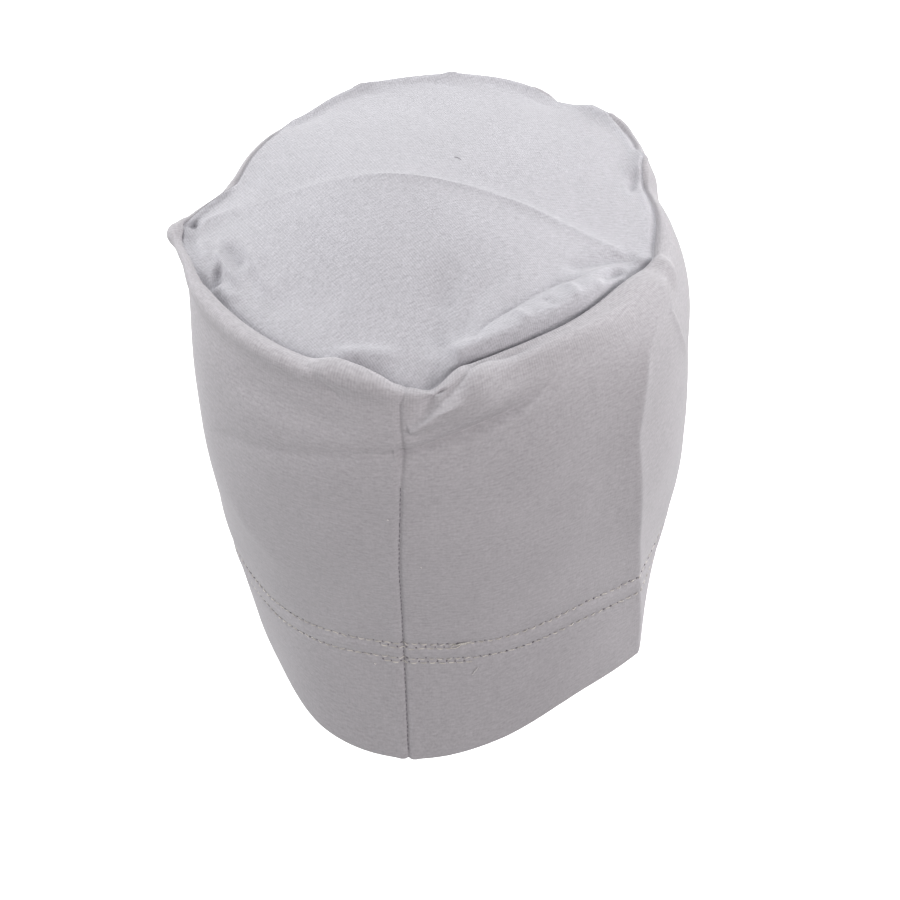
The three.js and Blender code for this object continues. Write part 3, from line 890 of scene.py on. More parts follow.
@dataclass(frozen=True)
class JerseyFinish:
    """Grey jersey knit: fine ribs, short streaks of yarn across them, and a soft sheen."""

    name: str
    base: tuple[float, float, float]
    ribs: RibShare
    rib_pitch: float = 0.84
    rib_direction: float = 90.0
    rib_contrast: float = 0.1
    streak_contrast: float = 0.55
    speck_contrast: float = 0.5
    cloud_contrast: float = 0.12
    roughness: float = 0.88
    sheen: float = 0.25
    sheen_roughness: float = 0.45
    bump_depth: float = 0.14
    bump_strength: float = 0.5
    specular: float = 0.25
    streak_scale: tuple[float, float] = (0.3, 1.5)
    speck_scale: tuple[float, float] = (1.15, 1.15)
    cloud_scale: tuple[float, float] = (0.045, 0.045)
    drift_scale: tuple[float, float] = (0.03, 0.02)
    drift: float = 1.2
    break_scale: tuple[float, float] = (0.8, 0.25)
    break_least: float = 0.1
    yarn_relief: float = 1.2

    def material(self) -> bpy.types.Material:
        """Builds the material.

        Returns:
            A material that reads the cloth coordinates of the mesh, in mm.
        """
        nodes = Nodes(self.name)
        cloth = nodes.add("ShaderNodeUVMap", uv_map="cloth_mm").outputs["UV"]
        turn = (0.0, 0.0, math.radians(90.0 - self.rib_direction))
        turned = nodes.add("ShaderNodeMapping", {"Vector": cloth, "Rotation": turn}).outputs["Vector"]
        rib = self.rib(nodes, turned)
        streak = self.centred(nodes, self.noise(nodes, turned, self.streak_scale, 4.0))
        speck = self.centred(nodes, self.noise(nodes, cloth, self.speck_scale, 3.0))
        cloud = self.centred(nodes, self.noise(nodes, cloth, self.cloud_scale, 3.0))
        parts = (
            (rib, self.rib_contrast),
            (streak, self.streak_contrast),
            (speck, self.speck_contrast),
            (cloud, self.cloud_contrast),
        )
        shade = nodes.math("ADD", self.total(nodes, parts), 1.0)
        colour = nodes.add("ShaderNodeVectorMath", {"0": (*self.base,), "Scale": shade}, operation="SCALE")
        nodes.feed(nodes.shader.inputs["Base Color"], colour.outputs["Vector"])
        height = self.total(nodes, ((rib, 1.0), (streak, self.yarn_relief), (speck, self.yarn_relief)))
        bump_inputs = {"Strength": self.bump_strength, "Distance": self.bump_depth * MM, "Height": height}
        bump = nodes.add("ShaderNodeBump", bump_inputs)
        nodes.feed(nodes.shader.inputs["Normal"], bump.outputs["Normal"])
        nodes.shader.inputs["Roughness"].default_value = self.roughness
        nodes.shader.inputs["Specular IOR Level"].default_value = self.specular
        nodes.shader.inputs["Sheen Weight"].default_value = self.sheen
        nodes.shader.inputs["Sheen Roughness"].default_value = self.sheen_roughness
        return nodes.material

    def rib(self, nodes: Nodes, turned: bpy.types.NodeSocket) -> bpy.types.NodeSocket:
        """Ribs of the knit round zero: they wander and break up a little, and fade over the panel.

        Args:
            nodes: The material's nodes.
            turned: Cloth coordinates with X across the ribs, in mm.

        Returns:
            The ribs' height, from about -1 to 1.
        """
        apart = nodes.add("ShaderNodeSeparateXYZ", {"Vector": turned})
        across, along = apart.outputs["X"], apart.outputs["Y"]
        drift = nodes.math("MULTIPLY", self.noise(nodes, turned, self.drift_scale, 2.0), self.drift)
        across = nodes.math("ADD", across, drift)
        wave = nodes.math("SINE", nodes.math("MULTIPLY", across, 2.0 * math.pi / self.rib_pitch))
        broken = nodes.math("ADD", self.noise(nodes, turned, self.break_scale, 3.0), self.break_least)
        limits = {"Value": along, "From Min": self.ribs.start, "From Max": self.ribs.end}
        shares = {"To Min": self.ribs.share_start, "To Max": self.ribs.share_end}
        share = nodes.add("ShaderNodeMapRange", {**limits, **shares}, interpolation_type="SMOOTHSTEP")
        return nodes.math("MULTIPLY", nodes.math("MULTIPLY", wave, broken), share.outputs["Result"])

    @staticmethod
    def centred(nodes: Nodes, value: bpy.types.NodeSocket) -> bpy.types.NodeSocket:
        """Noise moved to lie round zero."""
        return nodes.math("SUBTRACT", value, 0.5)

    @staticmethod
    def total(nodes: Nodes, parts: tuple[tuple[bpy.types.NodeSocket, float], ...]) -> bpy.types.NodeSocket:
        """Sum of several values, each with its own weight.

        Args:
            nodes: The material's nodes.
            parts: Pairs of a value and its weight.

        Returns:
            The sum.
        """
        whole = nodes.math("MULTIPLY", parts[0][0], parts[0][1])
        for value, weight in parts[1:]:
            whole = nodes.math("ADD", whole, nodes.math("MULTIPLY", value, weight))
        return whole

    @staticmethod
    def noise(
        nodes: Nodes, vector: bpy.types.NodeSocket, scale: tuple[float, float], detail: float
    ) -> bpy.types.NodeSocket:
        """Noise of the cloth coordinates.

        Args:
            nodes: The material's nodes.
            vector: Cloth coordinates in mm.
            scale: Scale of the noise in each direction, per mm.
            detail: How many finer layers the noise has.

        Returns:
            The noise, from 0 to 1.
        """
        stretched = nodes.add("ShaderNodeMapping", {"Vector": vector, "Scale": (scale[0], scale[1], 1.0)})
        inputs = {"Vector": stretched.outputs["Vector"], "Scale": 1.0, "Detail": detail}
        return nodes.add("ShaderNodeTexNoise", inputs).outputs["Fac"]


@dataclass(frozen=True)
class ThreadFinish:
    """Sewing thread: two plies that show as slanted bands."""

    name: str
    base: tuple[float, float, float]
    roughness: float = 0.7
    sheen: float = 0.2
    ply_pitch: float = 0.5
    ply_divisor: float = 20.0
    ply_contrast: float = 0.3
    ply_least: float = 0.85

    def material(self) -> bpy.types.Material:
        """Builds the material.

        Returns:
            A material that bands the thread by its place in space.
        """
        nodes = Nodes(self.name)
        place = nodes.add("ShaderNodeTexCoord").outputs["Object"]
        waves = nodes.add(
            "ShaderNodeTexWave",
            {"Vector": place, "Scale": 1.0 / (self.ply_pitch * MM) / self.ply_divisor, "Distortion": 2.0},
            bands_direction="DIAGONAL",
        )
        bands = nodes.math("MULTIPLY", waves.outputs["Fac"], self.ply_contrast)
        shade = nodes.math("ADD", bands, self.ply_least)
        colour = nodes.add("ShaderNodeVectorMath", {"0": (*self.base,), "Scale": shade}, operation="SCALE")
        nodes.feed(nodes.shader.inputs["Base Color"], colour.outputs["Vector"])
        nodes.shader.inputs["Roughness"].default_value = self.roughness
        nodes.shader.inputs["Sheen Weight"].default_value = self.sheen
        return nodes.material


def dress(piece: bpy.types.Object, material: bpy.types.Material) -> bpy.types.Object:
    """Gives a piece its material and its place on the cap.

    Args:
        piece: The finished mesh.
        material: Its material.

    Returns:
        The piece.
    """
    piece.data.materials.append(material)
    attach(piece, "root")
    report(piece)
    return piece


@dataclass
class CrownPanel:
    """Oval top panel with two pointed ends."""

    cloth: WornCloth
    tuck: float = 0.4
    columns: int = 480
    stretches: tuple[tuple[float, float, int], ...] = (
        (-0.985, -0.45, 30),
        (-0.44, -0.2, 26),
        (-0.193, 0.0, 46),
    )
    inner_every: int = 4
    middle_level: float = -0.999

    def build(self) -> bpy.types.Object:
        """Makes the closed shell of the panel.

        Returns:
            The piece.
        """
        angles = np.linspace(0.0, 360.0, self.columns, endpoint=False)
        outer_levels = np.concatenate([np.linspace(a, b, n) for a, b, n in self.stretches])
        inner_levels = np.append(outer_levels[:-1: self.inner_every], 0.0)
        outer, centre = self.side(angles, outer_levels, 0.0)
        inner, inner_centre = self.side(angles, inner_levels, self.cloth.thickness)
        points = np.concatenate([[centre], outer.reshape(-1, 3), [inner_centre], inner.reshape(-1, 3)])
        start = 1 + outer.shape[0] * self.columns
        faces = self.disc(0, len(outer_levels), flip=False) + self.disc(start, len(inner_levels), flip=True)
        last_outer = 1 + (len(outer_levels) - 1) * self.columns
        last_inner = start + 1 + (len(inner_levels) - 1) * self.columns
        for i in range(self.columns):
            j = (i + 1) % self.columns
            faces.append((last_outer + i, last_inner + i, last_inner + j, last_outer + j))
        flat = np.concatenate([self.spread(centre, outer, angles), self.spread(inner_centre, inner, angles)])
        uv = [tuple(flat[v]) for face in faces for v in face]
        return mesh_object("crown_panel", points, faces, uv)

    @staticmethod
    def spread(centre: np.ndarray, rings: np.ndarray, angles: np.ndarray) -> np.ndarray:
        """Cloth coordinates of one side: distance from the middle measured over the folds.

        Args:
            centre: Middle point of the side.
            rings: Rings of points, from the middle out.
            angles: Angle of each column in degrees.

        Returns:
            A pair of coordinates in mm for the middle and for each point of the rings.
        """
        paths = np.concatenate([np.broadcast_to(centre, (1, *rings.shape[1:])), rings])
        run = np.cumsum(np.linalg.norm(np.diff(paths, axis=0), axis=-1), axis=0)
        turned = np.radians(angles)
        flat = np.stack([run * np.sin(turned), run * np.cos(turned)], axis=-1).reshape(-1, 2)
        return np.concatenate([[[0.0, 0.0]], flat])

    def side(self, angles: np.ndarray, levels: np.ndarray, depth: float) -> tuple[np.ndarray, np.ndarray]:
        """One side of the cloth.

        Args:
            angles: Angle of each column in degrees.
            levels: Level of each ring, from the middle out.
            depth: How far the side lies below the outer side, in mm.

        Returns:
            Rings of points in mm, and the point in their middle.
        """
        degrees = np.tile(angles, len(levels))
        level = np.repeat(levels, len(angles))
        under = np.where(level == Level.SEAM, self.tuck / self.cloth.form.value("seam_r", degrees), 0.0)
        outer, inward = self.cloth.place(Panel.CROWN, degrees, level + under)
        middle, down = self.cloth.place(Panel.CROWN, np.zeros(1), np.full(1, self.middle_level))
        rings = (outer + inward * depth).reshape(len(levels), len(angles), 3)
        return rings, (middle + down * depth)[0]

    def disc(self, first: int, rings: int, flip: bool) -> list[tuple[int, ...]]:
        """Faces of a disc of rings round a middle vertex.

        Args:
            first: Number of the middle vertex.
            rings: How many rings follow it.
            flip: True where the disc faces into the cap.

        Returns:
            Vertex numbers of each face.
        """
        n = self.columns
        faces: list[tuple[int, ...]] = []
        for i in range(n):
            j = (i + 1) % n
            faces.append((first, first + 1 + i, first + 1 + j))
            for ring in range(rings - 1):
                a = first + 1 + ring * n
                faces.append((a + i, a + n + i, a + n + j, a + j))
        return [tuple(reversed(face)) for face in faces] if not flip else faces


def wall_angles() -> np.ndarray:
    """Columns of the wall: fine at the back seam and the pleat, wider at the front.

    Returns:
        Angles from the centre back, rising from 0 to 360 degrees.
    """
    left = np.concatenate([np.array([0.17, 0.36, 0.58, 0.82, 1.1, 1.4]), np.arange(1.8, 104.0, 0.75)])
    front = np.arange(105.0, 255.0, 1.5)
    pleat = [np.arange(0.17, 2.6, 0.17), np.arange(2.8, 40.0, 0.34)]
    right = np.concatenate([*pleat, np.arange(40.2, 104.5, 0.6)])
    return np.concatenate([[0.0], left, front, 360.0 - right[::-1]])


@dataclass
class SideWall:
    """Side panel: rolls over the rim, goes down to the bottom edge and turns under."""

    cloth: WornCloth
    uv_radius: float = 86.0
    edge_turns: tuple[float, ...] = (30.0, 60.0, 90.0, 120.0, 150.0, 180.0)
    stretches: tuple[tuple[float, float, int], ...] = (
        (0.0, 1.0, 11),
        (1.0, 2.0, 22),
        (2.0, 2.35, 32),
        (2.35, 3.0, 18),
        (3.0, 3.88, 20),
        (3.88, 4.2, 26),
        (4.2, 4.86, 14),
    )
    inner_every: int = 5

    def build(self) -> bpy.types.Object:
        """Makes the closed shell of the wall.

        Returns:
            The piece.
        """
        angles = wall_angles()
        levels = np.concatenate([np.linspace(a, b, n, endpoint=False) for a, b, n in self.stretches])
        outer, inward = self.rings(angles, levels)
        edge, edge_in = self.rings(angles, np.array([Level.EDGE]))
        low_level = self.cloth.form.level_above_edge(angles, self.cloth.edge_return)
        low, low_in = self.rings(angles, low_level[None, :])
        thickness = self.cloth.thickness
        total = 2 * thickness + self.cloth.gap
        down = unit(edge[0] - low[0])
        turns = []
        for bend in np.radians(self.edge_turns):
            turned_in = edge_in[0] * total / 2 * (1 - np.cos(bend))
            turns.append(edge[0] + turned_in + down * total / 2 * np.sin(bend))
        hem = [low[0], edge[0], *turns, low[0] + low_in[0] * total, low[0] + low_in[0] * thickness]
        inner = (outer + inward * thickness)[:: self.inner_every][::-1]
        return self.shell(np.stack([*outer, *hem, *inner]), np.radians(angles) * self.uv_radius)

    def rings(self, angles: np.ndarray, levels: np.ndarray) -> tuple[np.ndarray, np.ndarray]:
        """Rings of the wall's outer side.

        Args:
            angles: Angle of each column in degrees.
            levels: Level of each ring, or of each ring at each column.

        Returns:
            Rings of points in mm, and the directions into the cloth there.
        """
        grid = np.broadcast_to(levels[:, None] if levels.ndim == 1 else levels, (len(levels), len(angles)))
        degrees = np.tile(angles, len(levels))
        level = grid.reshape(-1)
        trim = self.cloth.gap / 2.0 / self.cloth.form.profile(degrees)[1][0]
        outer, inward = self.cloth.place(Panel.WALL, degrees, np.maximum(level, trim))
        shape = (len(levels), len(angles), 3)
        return outer.reshape(shape), inward.reshape(shape)

    def shell(self, points: np.ndarray, along: np.ndarray) -> bpy.types.Object:
        """Closed mesh from rings that follow each other round the cloth's cross-section.

        Args:
            points: The rings, in mm.
            along: Cloth coordinate of each column round the wall, in mm.

        Returns:
            The piece.
        """
        rows, columns = points.shape[:2]
        steps = np.linalg.norm(np.diff(points, axis=0), axis=-1).mean(axis=1)
        drop = np.concatenate([[0.0], np.cumsum(steps)])
        faces, uv = [], []
        for row in range(rows):
            below = (row + 1) % rows
            v_low = drop[below] if below else drop[row] + 1.0
            for i in range(columns):
                j = (i + 1) % columns
                u_next = along[j] if j else 2.0 * math.pi * self.uv_radius
                faces.append((row * columns + i, row * columns + j, below * columns + j, below * columns + i))
                uv += [(along[i], -drop[row]), (u_next, -drop[row]), (u_next, -v_low), (along[i], -v_low)]
        flipped = [tuple(reversed(face)) for face in faces]
        corners = np.array(uv).reshape(-1, 4, 2)[:, ::-1].reshape(-1, 2)
        return mesh_object("side_wall", points.reshape(-1, 3), flipped, corners.tolist())


@dataclass
class HemTurnUp:
    """Turned-up inner layer of the hem, from the folded edge to just past the upper stitch row."""

    cloth: WornCloth
    margin: float = 1.5
    rows: int = 20
    column_turn: float = 1.25
    uv_across: float = 1.9
    uv_down: float = 3.0

    def build(self) -> bpy.types.Object:
        """Makes the closed ring of cloth inside the wall.

        Returns:
            The piece.
        """
        angles = np.arange(0.0, 360.0, self.column_turn)
        form = self.cloth.form
        low = form.level_above_edge(angles, self.cloth.edge_return + self.cloth.gap)
        high = Level.CASING - self.margin / form.profile(angles)[1][int(Level.BULGE)]
        share = np.linspace(0.0, 1.0, self.rows)[:, None]
        levels = (high * (1.0 - share) + low * share).reshape(-1)
        outer, inward = self.cloth.place(Panel.WALL, np.tile(angles, self.rows), levels)
        thickness = self.cloth.thickness
        depth = thickness + self.cloth.gap
        shape = (self.rows, len(angles), 3)
        near = (outer + inward * depth).reshape(shape)
        far = (outer + inward * (depth + thickness)).reshape(shape)[::-1]
        points = np.concatenate([near, far])
        count, columns = points.shape[:2]
        faces, uv = [], []
        for row in range(count):
            below = (row + 1) % count
            for i in range(columns):
                j = (i + 1) % columns
                faces.append((below * columns + i, below * columns + j, row * columns + j, row * columns + i))
                a, b = i * self.uv_across, (i + 1) * self.uv_across
                v_row, v_below = -self.uv_down * row, -self.uv_down * (row + 1)
                uv += [(a, v_below), (b, v_below), (b, v_row), (a, v_row)]
        return mesh_object("hem_layer", points.reshape(-1, 3), faces, uv)


class StitchLine(NamedTuple):
    """A line of coverstitch: mm below the upper row, and its first and last angle."""

    drop: float
    start: float
    end: float


@dataclass
class Stitching:
    """Threads of the hem's two stitch rows and of the back seam, and dark discs of painted needle-hole shade.
    """

    cloth: WornCloth
    stitch_length: float = 2.3
    wander: float = 0.12
    pitch_spread: float = 0.03
    thread_radius: float = 0.22
    thread_profile: tuple[float, ...] = (0.45, 0.9, 1.0, 1.0, 0.9, 0.45)
    hole_radius: float = 0.45
    hole_half: float = 0.25
    hole_ahead: float = 0.14
    hole_above: float = 0.006
    seam_start: float = 2.62
    seam_end: float = 4.93
    seam_pitch: float = 2.3
    seam_spread: float = 0.08
    seam_fill: tuple[float, float] = (0.7, 0.9)
    seam_wander: float = 0.05
    sides: int = 6
    seed: int = 7

    def rows(self) -> tuple[list[np.ndarray], list[np.ndarray]]:
        """Places of the hem's stitches and needle holes, as (degrees, level) pairs.

        Returns:
            Both ends of every stitch, and the place of every needle hole.
        """
        form, pitch, spacing = self.cloth.form, self.cloth.stitch_pitch, self.cloth.row_spacing
        rng = np.random.default_rng(self.seed)
        stitches, holes = [], []
        lines = (
            StitchLine(0.0, -180.0, 180.0),
            StitchLine(spacing, -180.0, 180.0),
            StitchLine(1.5, -12.0, 5.0),
            StitchLine(spacing + 1.6, -17.0, 5.0),
        )
        for drop, start, end in lines:
            degrees = start
            while degrees < end:
                radius = float(form.value("casing_r", np.array([degrees]))[0])
                turn = math.degrees(pitch / radius)
                share = self.stitch_length / pitch
                wander = rng.normal(0.0, self.wander, 2)
                ends = np.array([[degrees, drop + wander[0]], [degrees + turn * share, drop + wander[1]]])
                ends[:, 1] = [float(form.level_below(np.array([d]), s)[0]) for d, s in ends]
                stitches.append(ends)
                holes.append(ends[1] + np.array([turn * self.hole_ahead, -self.hole_above]))
                degrees += turn * (1.0 + rng.normal(0.0, self.pitch_spread))
        return stitches, holes

    def thread(
        self, name: str, stitches: list[np.ndarray], radius: float, lift: float, bow: float
    ) -> bpy.types.Object:
        """Joined mesh of short bowed threads that dip into the cloth at both ends.

        Args:
            name: Name of the piece.
            stitches: Ends of each stitch, as (degrees, level) pairs.
            radius: Thread radius in mm.
            lift: Height of the ends above the cloth in mm.
            bow: Extra height at the middle in mm.

        Returns:
            The piece.
        """
        steps = len(self.thread_profile)
        shares = np.linspace(0.0, 1.0, steps)
        ends = np.stack(stitches)
        share = shares[None, :, None]
        flat = (ends[:, None, 0, :] * (1 - share) + ends[:, None, 1, :] * share).reshape(-1, 2)
        outer, inward = self.cloth.place(Panel.WALL, flat[:, 0], flat[:, 1])
        outer, inward = outer.reshape(-1, steps, 3), inward.reshape(-1, steps, 3)
        arch = lift + bow * np.sin(np.pi * shares)
        line = outer - inward * arch[None, :, None]
        thick = radius * np.array(self.thread_profile)
        along = unit(line[:, -1] - line[:, 0])[:, None, :]
        side = unit(np.cross(np.broadcast_to(along, inward.shape), inward))
        up = unit(np.cross(side, np.broadcast_to(along, side.shape)))
        turn = np.linspace(0.0, 2.0 * np.pi, self.sides, endpoint=False)
        ring = side[:, :, None, :] * np.cos(turn)[:, None] + up[:, :, None, :] * np.sin(turn)[:, None]
        points = line[:, :, None, :] + ring * thick[None, :, None, None]
        sides = self.sides
        faces = []
        for n in range(len(points)):
            base = n * steps * sides
            for k in range(steps - 1):
                for s in range(sides):
                    t = (s + 1) % sides
                    a, b = base + k * sides, base + (k + 1) * sides
                    faces.append((a + s, a + t, b + t, b + s))
            faces.append(tuple(base + s for s in reversed(range(sides))))
            faces.append(tuple(base + (steps - 1) * sides + s for s in range(sides)))
        return mesh_object(name, points.reshape(-1, 3), faces)

    def seam_stitches(self) -> list[np.ndarray]:
        """Stitches that close the back seam, seen between the two edges of cloth.

        Returns:
            Both ends of every stitch, as (degrees, level) pairs.
        """
        found = []
        rng = np.random.default_rng(self.seed)
        lengths = self.cloth.form.profile(np.zeros(1))[1][:, 0]
        level = self.seam_start
        last = int(Level.CASING)
        while level < self.seam_end:
            spread = 1.0 + rng.normal(0.0, self.seam_spread)
            step = self.seam_pitch / lengths[min(int(level), last)] * spread
            ends = np.array([level, level + step * rng.uniform(*self.seam_fill)])
            across = self.cloth.seam_at(ends) + rng.normal(0.0, self.seam_wander)
            found.append(np.stack([across, ends], axis=1))
            level += step
        return found


@dataclass(frozen=True)
class Strand:
    """A loose end of thread or a fibre on the cloth.

    Its path is a row of (degrees, level, height in mm above the cloth).
    """

    path: tuple[tuple[float, float, float], ...]
    radius: float
    steps: int = 18
    sides: int = 5
    end_width: float = 0.35
    end_widening: float = 3.0

    def mesh(self, cloth: WornCloth) -> tuple[np.ndarray, list[tuple[int, ...]]]:
        """The strand as a thin tube that narrows at both ends.

        Args:
            cloth: The cloth that it lies on.

        Returns:
            Points in mm, and the vertex numbers of each face.
        """
        knots = np.array(self.path, float)
        t = np.linspace(0.0, len(knots) - 1.0, self.steps)
        smooth = np.stack([self.through(knots[:, i], t) for i in range(3)], axis=1)
        panel = Panel.CROWN if knots[0, 1] < 0.0 else Panel.WALL
        outer, inward = cloth.place(panel, smooth[:, 0], smooth[:, 1])
        line = outer - inward * smooth[:, 2:]
        along = unit(np.gradient(line, axis=0))
        side = unit(np.cross(along, inward))
        up = np.cross(side, along)
        turn = np.linspace(0.0, 2.0 * np.pi, self.sides, endpoint=False)[:, None]
        widening = self.end_widening * np.minimum(t, t[-1] - t) / t[-1]
        thick = self.radius * np.minimum(1.0, self.end_width + widening)
        ring = side[:, None, :] * np.cos(turn) + up[:, None, :] * np.sin(turn)
        points = (line[:, None, :] + ring * thick[:, None, None]).reshape(-1, 3)
        faces = [tuple(reversed(range(self.sides))), tuple(range(len(points) - self.sides, len(points)))]
        for k in range(self.steps - 1):
            for s in range(self.sides):
                a, b = k * self.sides + s, k * self.sides + (s + 1) % self.sides
                faces.append((a, b, b + self.sides, a + self.sides))
        return points, faces

    @staticmethod
    def through(values: np.ndarray, t: np.ndarray) -> np.ndarray:
        """Smooth curve through evenly spaced values.

        Args:
            values: The values, at 0, 1, 2 and so on.
            t: Where the curve is wanted.

        Returns:
            The curve's values at t.
        """
        if len(values) < 3:
            return np.interp(t, np.arange(len(values)), values)
        slope = np.gradient(values)
        i = np.minimum(t.astype(int), len(values) - 2)
        return hermite(values[i], values[i + 1], slope[i], slope[i + 1], t - i)


@dataclass(frozen=True)
class LooseFibres:
    """Several strands of one kind, joined into one piece."""

    name: str
    strands: tuple[Strand, ...]

    def build(self, cloth: WornCloth) -> bpy.types.Object:
        """Makes the piece.

        Args:
            cloth: The cloth that the strands lie on.

        Returns:
            The piece.
        """
        points, faces, start = [], [], 0
        for strand in self.strands:
            places, sides = strand.mesh(cloth)
            points.append(places)
            faces += [tuple(start + v for v in face) for face in sides]
            start += len(places)
        return mesh_object(self.name, np.concatenate(points), faces)


# End of the hem's thread that was left long beside the back seam
THREAD_END = LooseFibres(
    "thread_end",
    (
        Strand(((-11.4, 4.02, 0.2), (-12.6, 4.0, 0.5), (-14.2, 3.985, 0.7), (-16.6, 3.97, 0.5)), 0.26),
        Strand(((-11.2, 4.03, 0.1), (-12.8, 4.02, 0.4), (-14.6, 4.0, 0.5), (-15.6, 4.0, 0.3)), 0.2),
    ),
)
LINT = LooseFibres(
    "lint",
    (
        Strand(((-17, 4.29, 0.2), (-17.6, 4.255, 0.5), (-18.5, 4.22, 0.4)), 0.13),
        Strand(((7.2, 4.2, 0.1), (7.7, 4.195, 0.25)), 0.24),
        Strand(((1.2, 2.95, 0.1), (1.6, 2.945, 0.2)), 0.15),
        Strand(((-5.2, 3.33, 0.1), (-4.9, 3.32, 0.2)), 0.13),
    ),
)
DARK_FIBRE = LooseFibres(
    "dark_fibre",
    (Strand(((-151, -0.78, 0.0), (-147.5, -0.772, 0.1), (-143, -0.772, 0.0)), 0.13),),
)

WARM = (1.0, 0.955, 0.95)


@dataclass(frozen=True)
class Lamp:
    """Square soft light: place and aim in metres."""

    name: str
    place: tuple[float, float, float]
    size: float
    watts: float
    colour: tuple[float, float, float] = (1.0, 1.0, 1.0)
    aim: tuple[float, float, float] = (0.0, 0.0, -0.09)


@dataclass(frozen=True)
class Studio:
    """Plain pale floor, soft lights and the camera at the photograph's angle."""

    azimuth: float = 189.0
    elevation: float = 38.0
    distance: float = 1200.0
    mm_per_pixel: float = 0.344
    image_size: float = 900.0
    sensor: float = 36.0
    # Worked out by a scratch program for the azimuth, elevation and distance above
    target: tuple[float, float, float] = (-4.374, 6.697, -104.343)
    floor_z: float = -2000.0
    floor_half: float = 6.0
    air: float = 0.2
    # The watts follow a scratch program that fitted one test render per lamp to the photo's brightness
    lamps: tuple[Lamp, ...] = (
        Lamp("top_front", (0.0, -0.85, 1.25), 1.1, 9.5),
        Lamp("top_left", (0.9, -0.55, 1.15), 1.0, 11.8),
        Lamp("top_right", (-0.9, -0.55, 1.15), 1.0, 7.6),
        Lamp("left", (1.4, 0.1, 0.2), 0.9, 12.0),
        Lamp("left_front", (1.1, -0.9, 0.2), 0.9, 4.7),
        Lamp("right_front", (-1.1, -0.9, 0.2), 0.9, 14.5),
        Lamp("back_left", (1.0, 1.2, 0.5), 0.9, 6.0, WARM),
        Lamp("back_right", (-1.1, 1.1, 0.5), 0.9, 18.5, WARM),
    )

    def camera(self) -> None:
        """Places the camera at the photograph's angle and distance."""
        a, e = math.radians(self.azimuth), math.radians(self.elevation)
        back = Vector((math.sin(a) * math.cos(e), -math.cos(a) * math.cos(e), math.sin(e)))
        lens = bpy.data.cameras.new("camera")
        lens.sensor_width = self.sensor
        lens.lens = self.distance / self.mm_per_pixel / self.image_size * self.sensor
        lens.clip_start, lens.clip_end = 0.05, 20.0
        camera = bpy.data.objects.new("camera", lens)
        camera.location = (Vector(self.target) + back * self.distance) * MM
        camera.rotation_mode = "QUATERNION"
        camera.rotation_quaternion = (-back).to_track_quat("-Z", "Y")
        bpy.context.scene.collection.objects.link(camera)
        bpy.context.scene.camera = camera

    def floor(self) -> None:
        """Plain flat pale floor some way below the cap."""
        half, height = self.floor_half, self.floor_z * MM
        corners = [(-half, -half, height), (half, -half, height), (half, half, height), (-half, half, height)]
        mesh = bpy.data.meshes.new("floor")
        mesh.from_pydata(corners, [], [(0, 1, 2, 3)])
        nodes = Nodes("pale_floor")
        nodes.shader.inputs["Base Color"].default_value = (0.93, 0.93, 0.94, 1.0)
        nodes.shader.inputs["Roughness"].default_value = 0.8
        mesh.materials.append(nodes.material)
        floor = bpy.data.objects.new("floor", mesh)
        bpy.context.scene.collection.objects.link(floor)

    def light(self, lamp: Lamp) -> None:
        """Adds a square soft light that looks at its aim.

        Args:
            lamp: The light's place, size, strength, colour and aim.
        """
        data = bpy.data.lights.new(lamp.name, "AREA")
        data.size, data.energy, data.color = lamp.size, lamp.watts, lamp.colour
        light = bpy.data.objects.new(lamp.name, data)
        light.location = lamp.place
        light.rotation_mode = "QUATERNION"
        light.rotation_quaternion = (Vector(lamp.aim) - Vector(lamp.place)).to_track_quat("-Z", "Y")
        bpy.context.scene.collection.objects.link(light)

    def background_light(self) -> None:
        """Lights the far part of the floor, so that it shows white behind the cap."""
        self.light(Lamp("floor_light", (0.4, -2.7, -0.7), 2.2, 75.0, aim=(0.4, -2.7, -2.0)))

    def build(self) -> None:
        """Sets up everything round the cap."""
        self.camera()
        self.floor()
        for lamp in self.lamps:
            self.light(lamp)
        self.background_light()
        world = bpy.data.worlds.new("studio_air")
        world.use_nodes = True
        world.node_tree.nodes["Background"].inputs["Color"].default_value = (1.0, 1.0, 1.0, 1.0)
        world.node_tree.nodes["Background"].inputs["Strength"].default_value = self.air
        bpy.context.scene.world = world
        bpy.context.scene.view_settings.view_transform = "Standard"


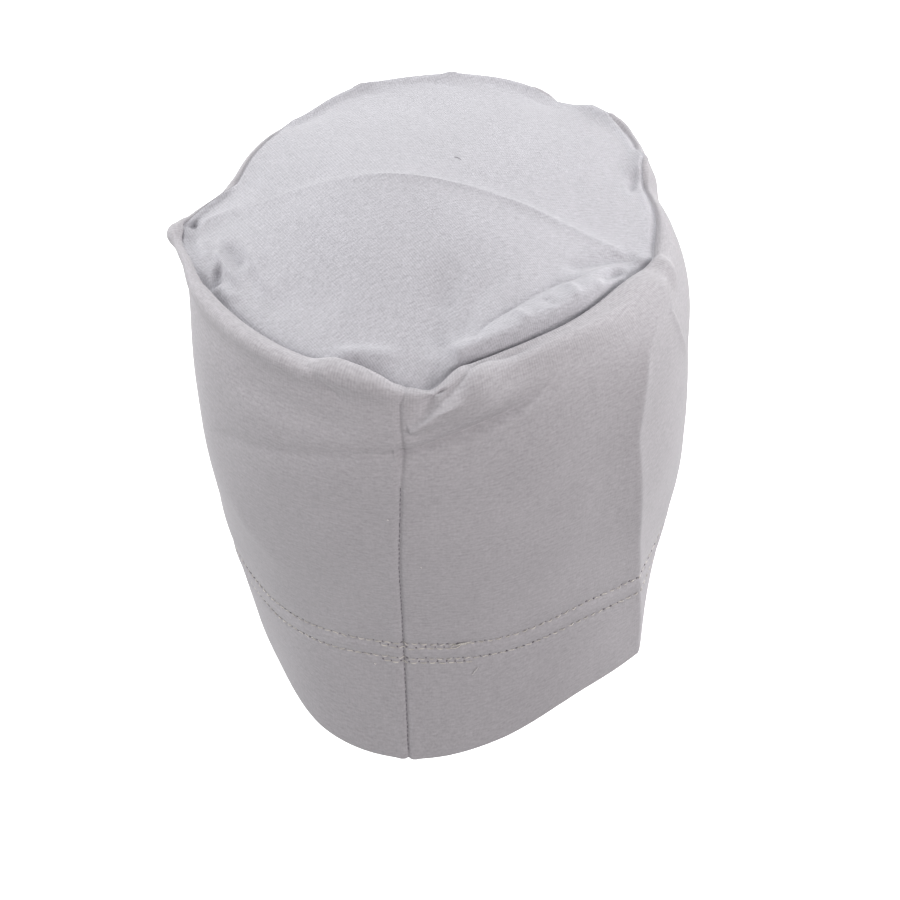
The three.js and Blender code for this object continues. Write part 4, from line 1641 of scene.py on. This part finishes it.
def main() -> None:
    """Builds the cap round its frame, piece by piece."""
    logging.basicConfig(level=logging.INFO, format="%(name)s %(message)s")
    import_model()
    cloth = WornCloth(CapForm())
    crown_ribs = RibShare(-32.0, 45.0, 0.95, 0.45)
    wall_ribs = RibShare(-22.0, 0.0, 0.1, 1.0)
    # The crown is the same grey jersey as the wall; its base is a little lighter and bluer as painted top
    # light.
    crown_jersey_painted_light = JerseyFinish("crown_jersey_painted_light", (0.396, 0.392, 0.42), crown_ribs, rib_direction=125.0)
    wall_jersey = JerseyFinish(
        "wall_jersey",
        (0.383, 0.371, 0.391),
        wall_ribs,
        rib_pitch=0.95,
        streak_contrast=0.48,
        speck_contrast=0.44,
        bump_strength=0.32,
    )
    crown_cloth_painted_light, wall_cloth = crown_jersey_painted_light.material(), wall_jersey.material()
    crown = dress(CrownPanel(cloth).build(), crown_cloth_painted_light)
    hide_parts("crown")
    wall = dress(SideWall(cloth).build(), wall_cloth)
    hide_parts("wall")
    layer = dress(HemTurnUp(cloth).build(), wall_cloth)
    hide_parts("hem_turn_up")
    stitching = Stitching(cloth)
    stitches, holes = stitching.rows()
    hem_thread = ThreadFinish("hem_thread", (0.52, 0.5, 0.465)).material()
    # Near-black discs half sunk into the cloth at each needle hole: painted shade inside the holes.
    shaded_hole = ThreadFinish("painted_needle_hole_shade", (0.15, 0.14, 0.155)).material()
    seam_thread = ThreadFinish("seam_thread", (0.17, 0.16, 0.18)).material()
    pale_fibre = ThreadFinish("pale_fibre", (0.72, 0.7, 0.68)).material()
    rows = stitching.thread("hem_stitches", stitches, stitching.thread_radius, lift=0.1, bow=0.12)
    dress(rows, hem_thread)
    half = np.array([stitching.hole_half, 0.0])
    dots = [np.stack([hole - half, hole + half]) for hole in holes]
    sunk = stitching.thread("painted_hole_shade_dots", dots, stitching.hole_radius, lift=-0.25, bow=0.0)
    dress(sunk, shaded_hole)
    closing = stitching.seam_stitches()
    seam = stitching.thread("back_seam_thread", closing, radius=0.18, lift=-0.05, bow=0.08)
    dress(seam, seam_thread)
    dress(THREAD_END.build(cloth), hem_thread)
    dress(LINT.build(cloth), pale_fibre)
    dress(DARK_FIBRE.build(cloth), seam_thread)
    Studio().build()


if __name__ == "__main__":
    main()
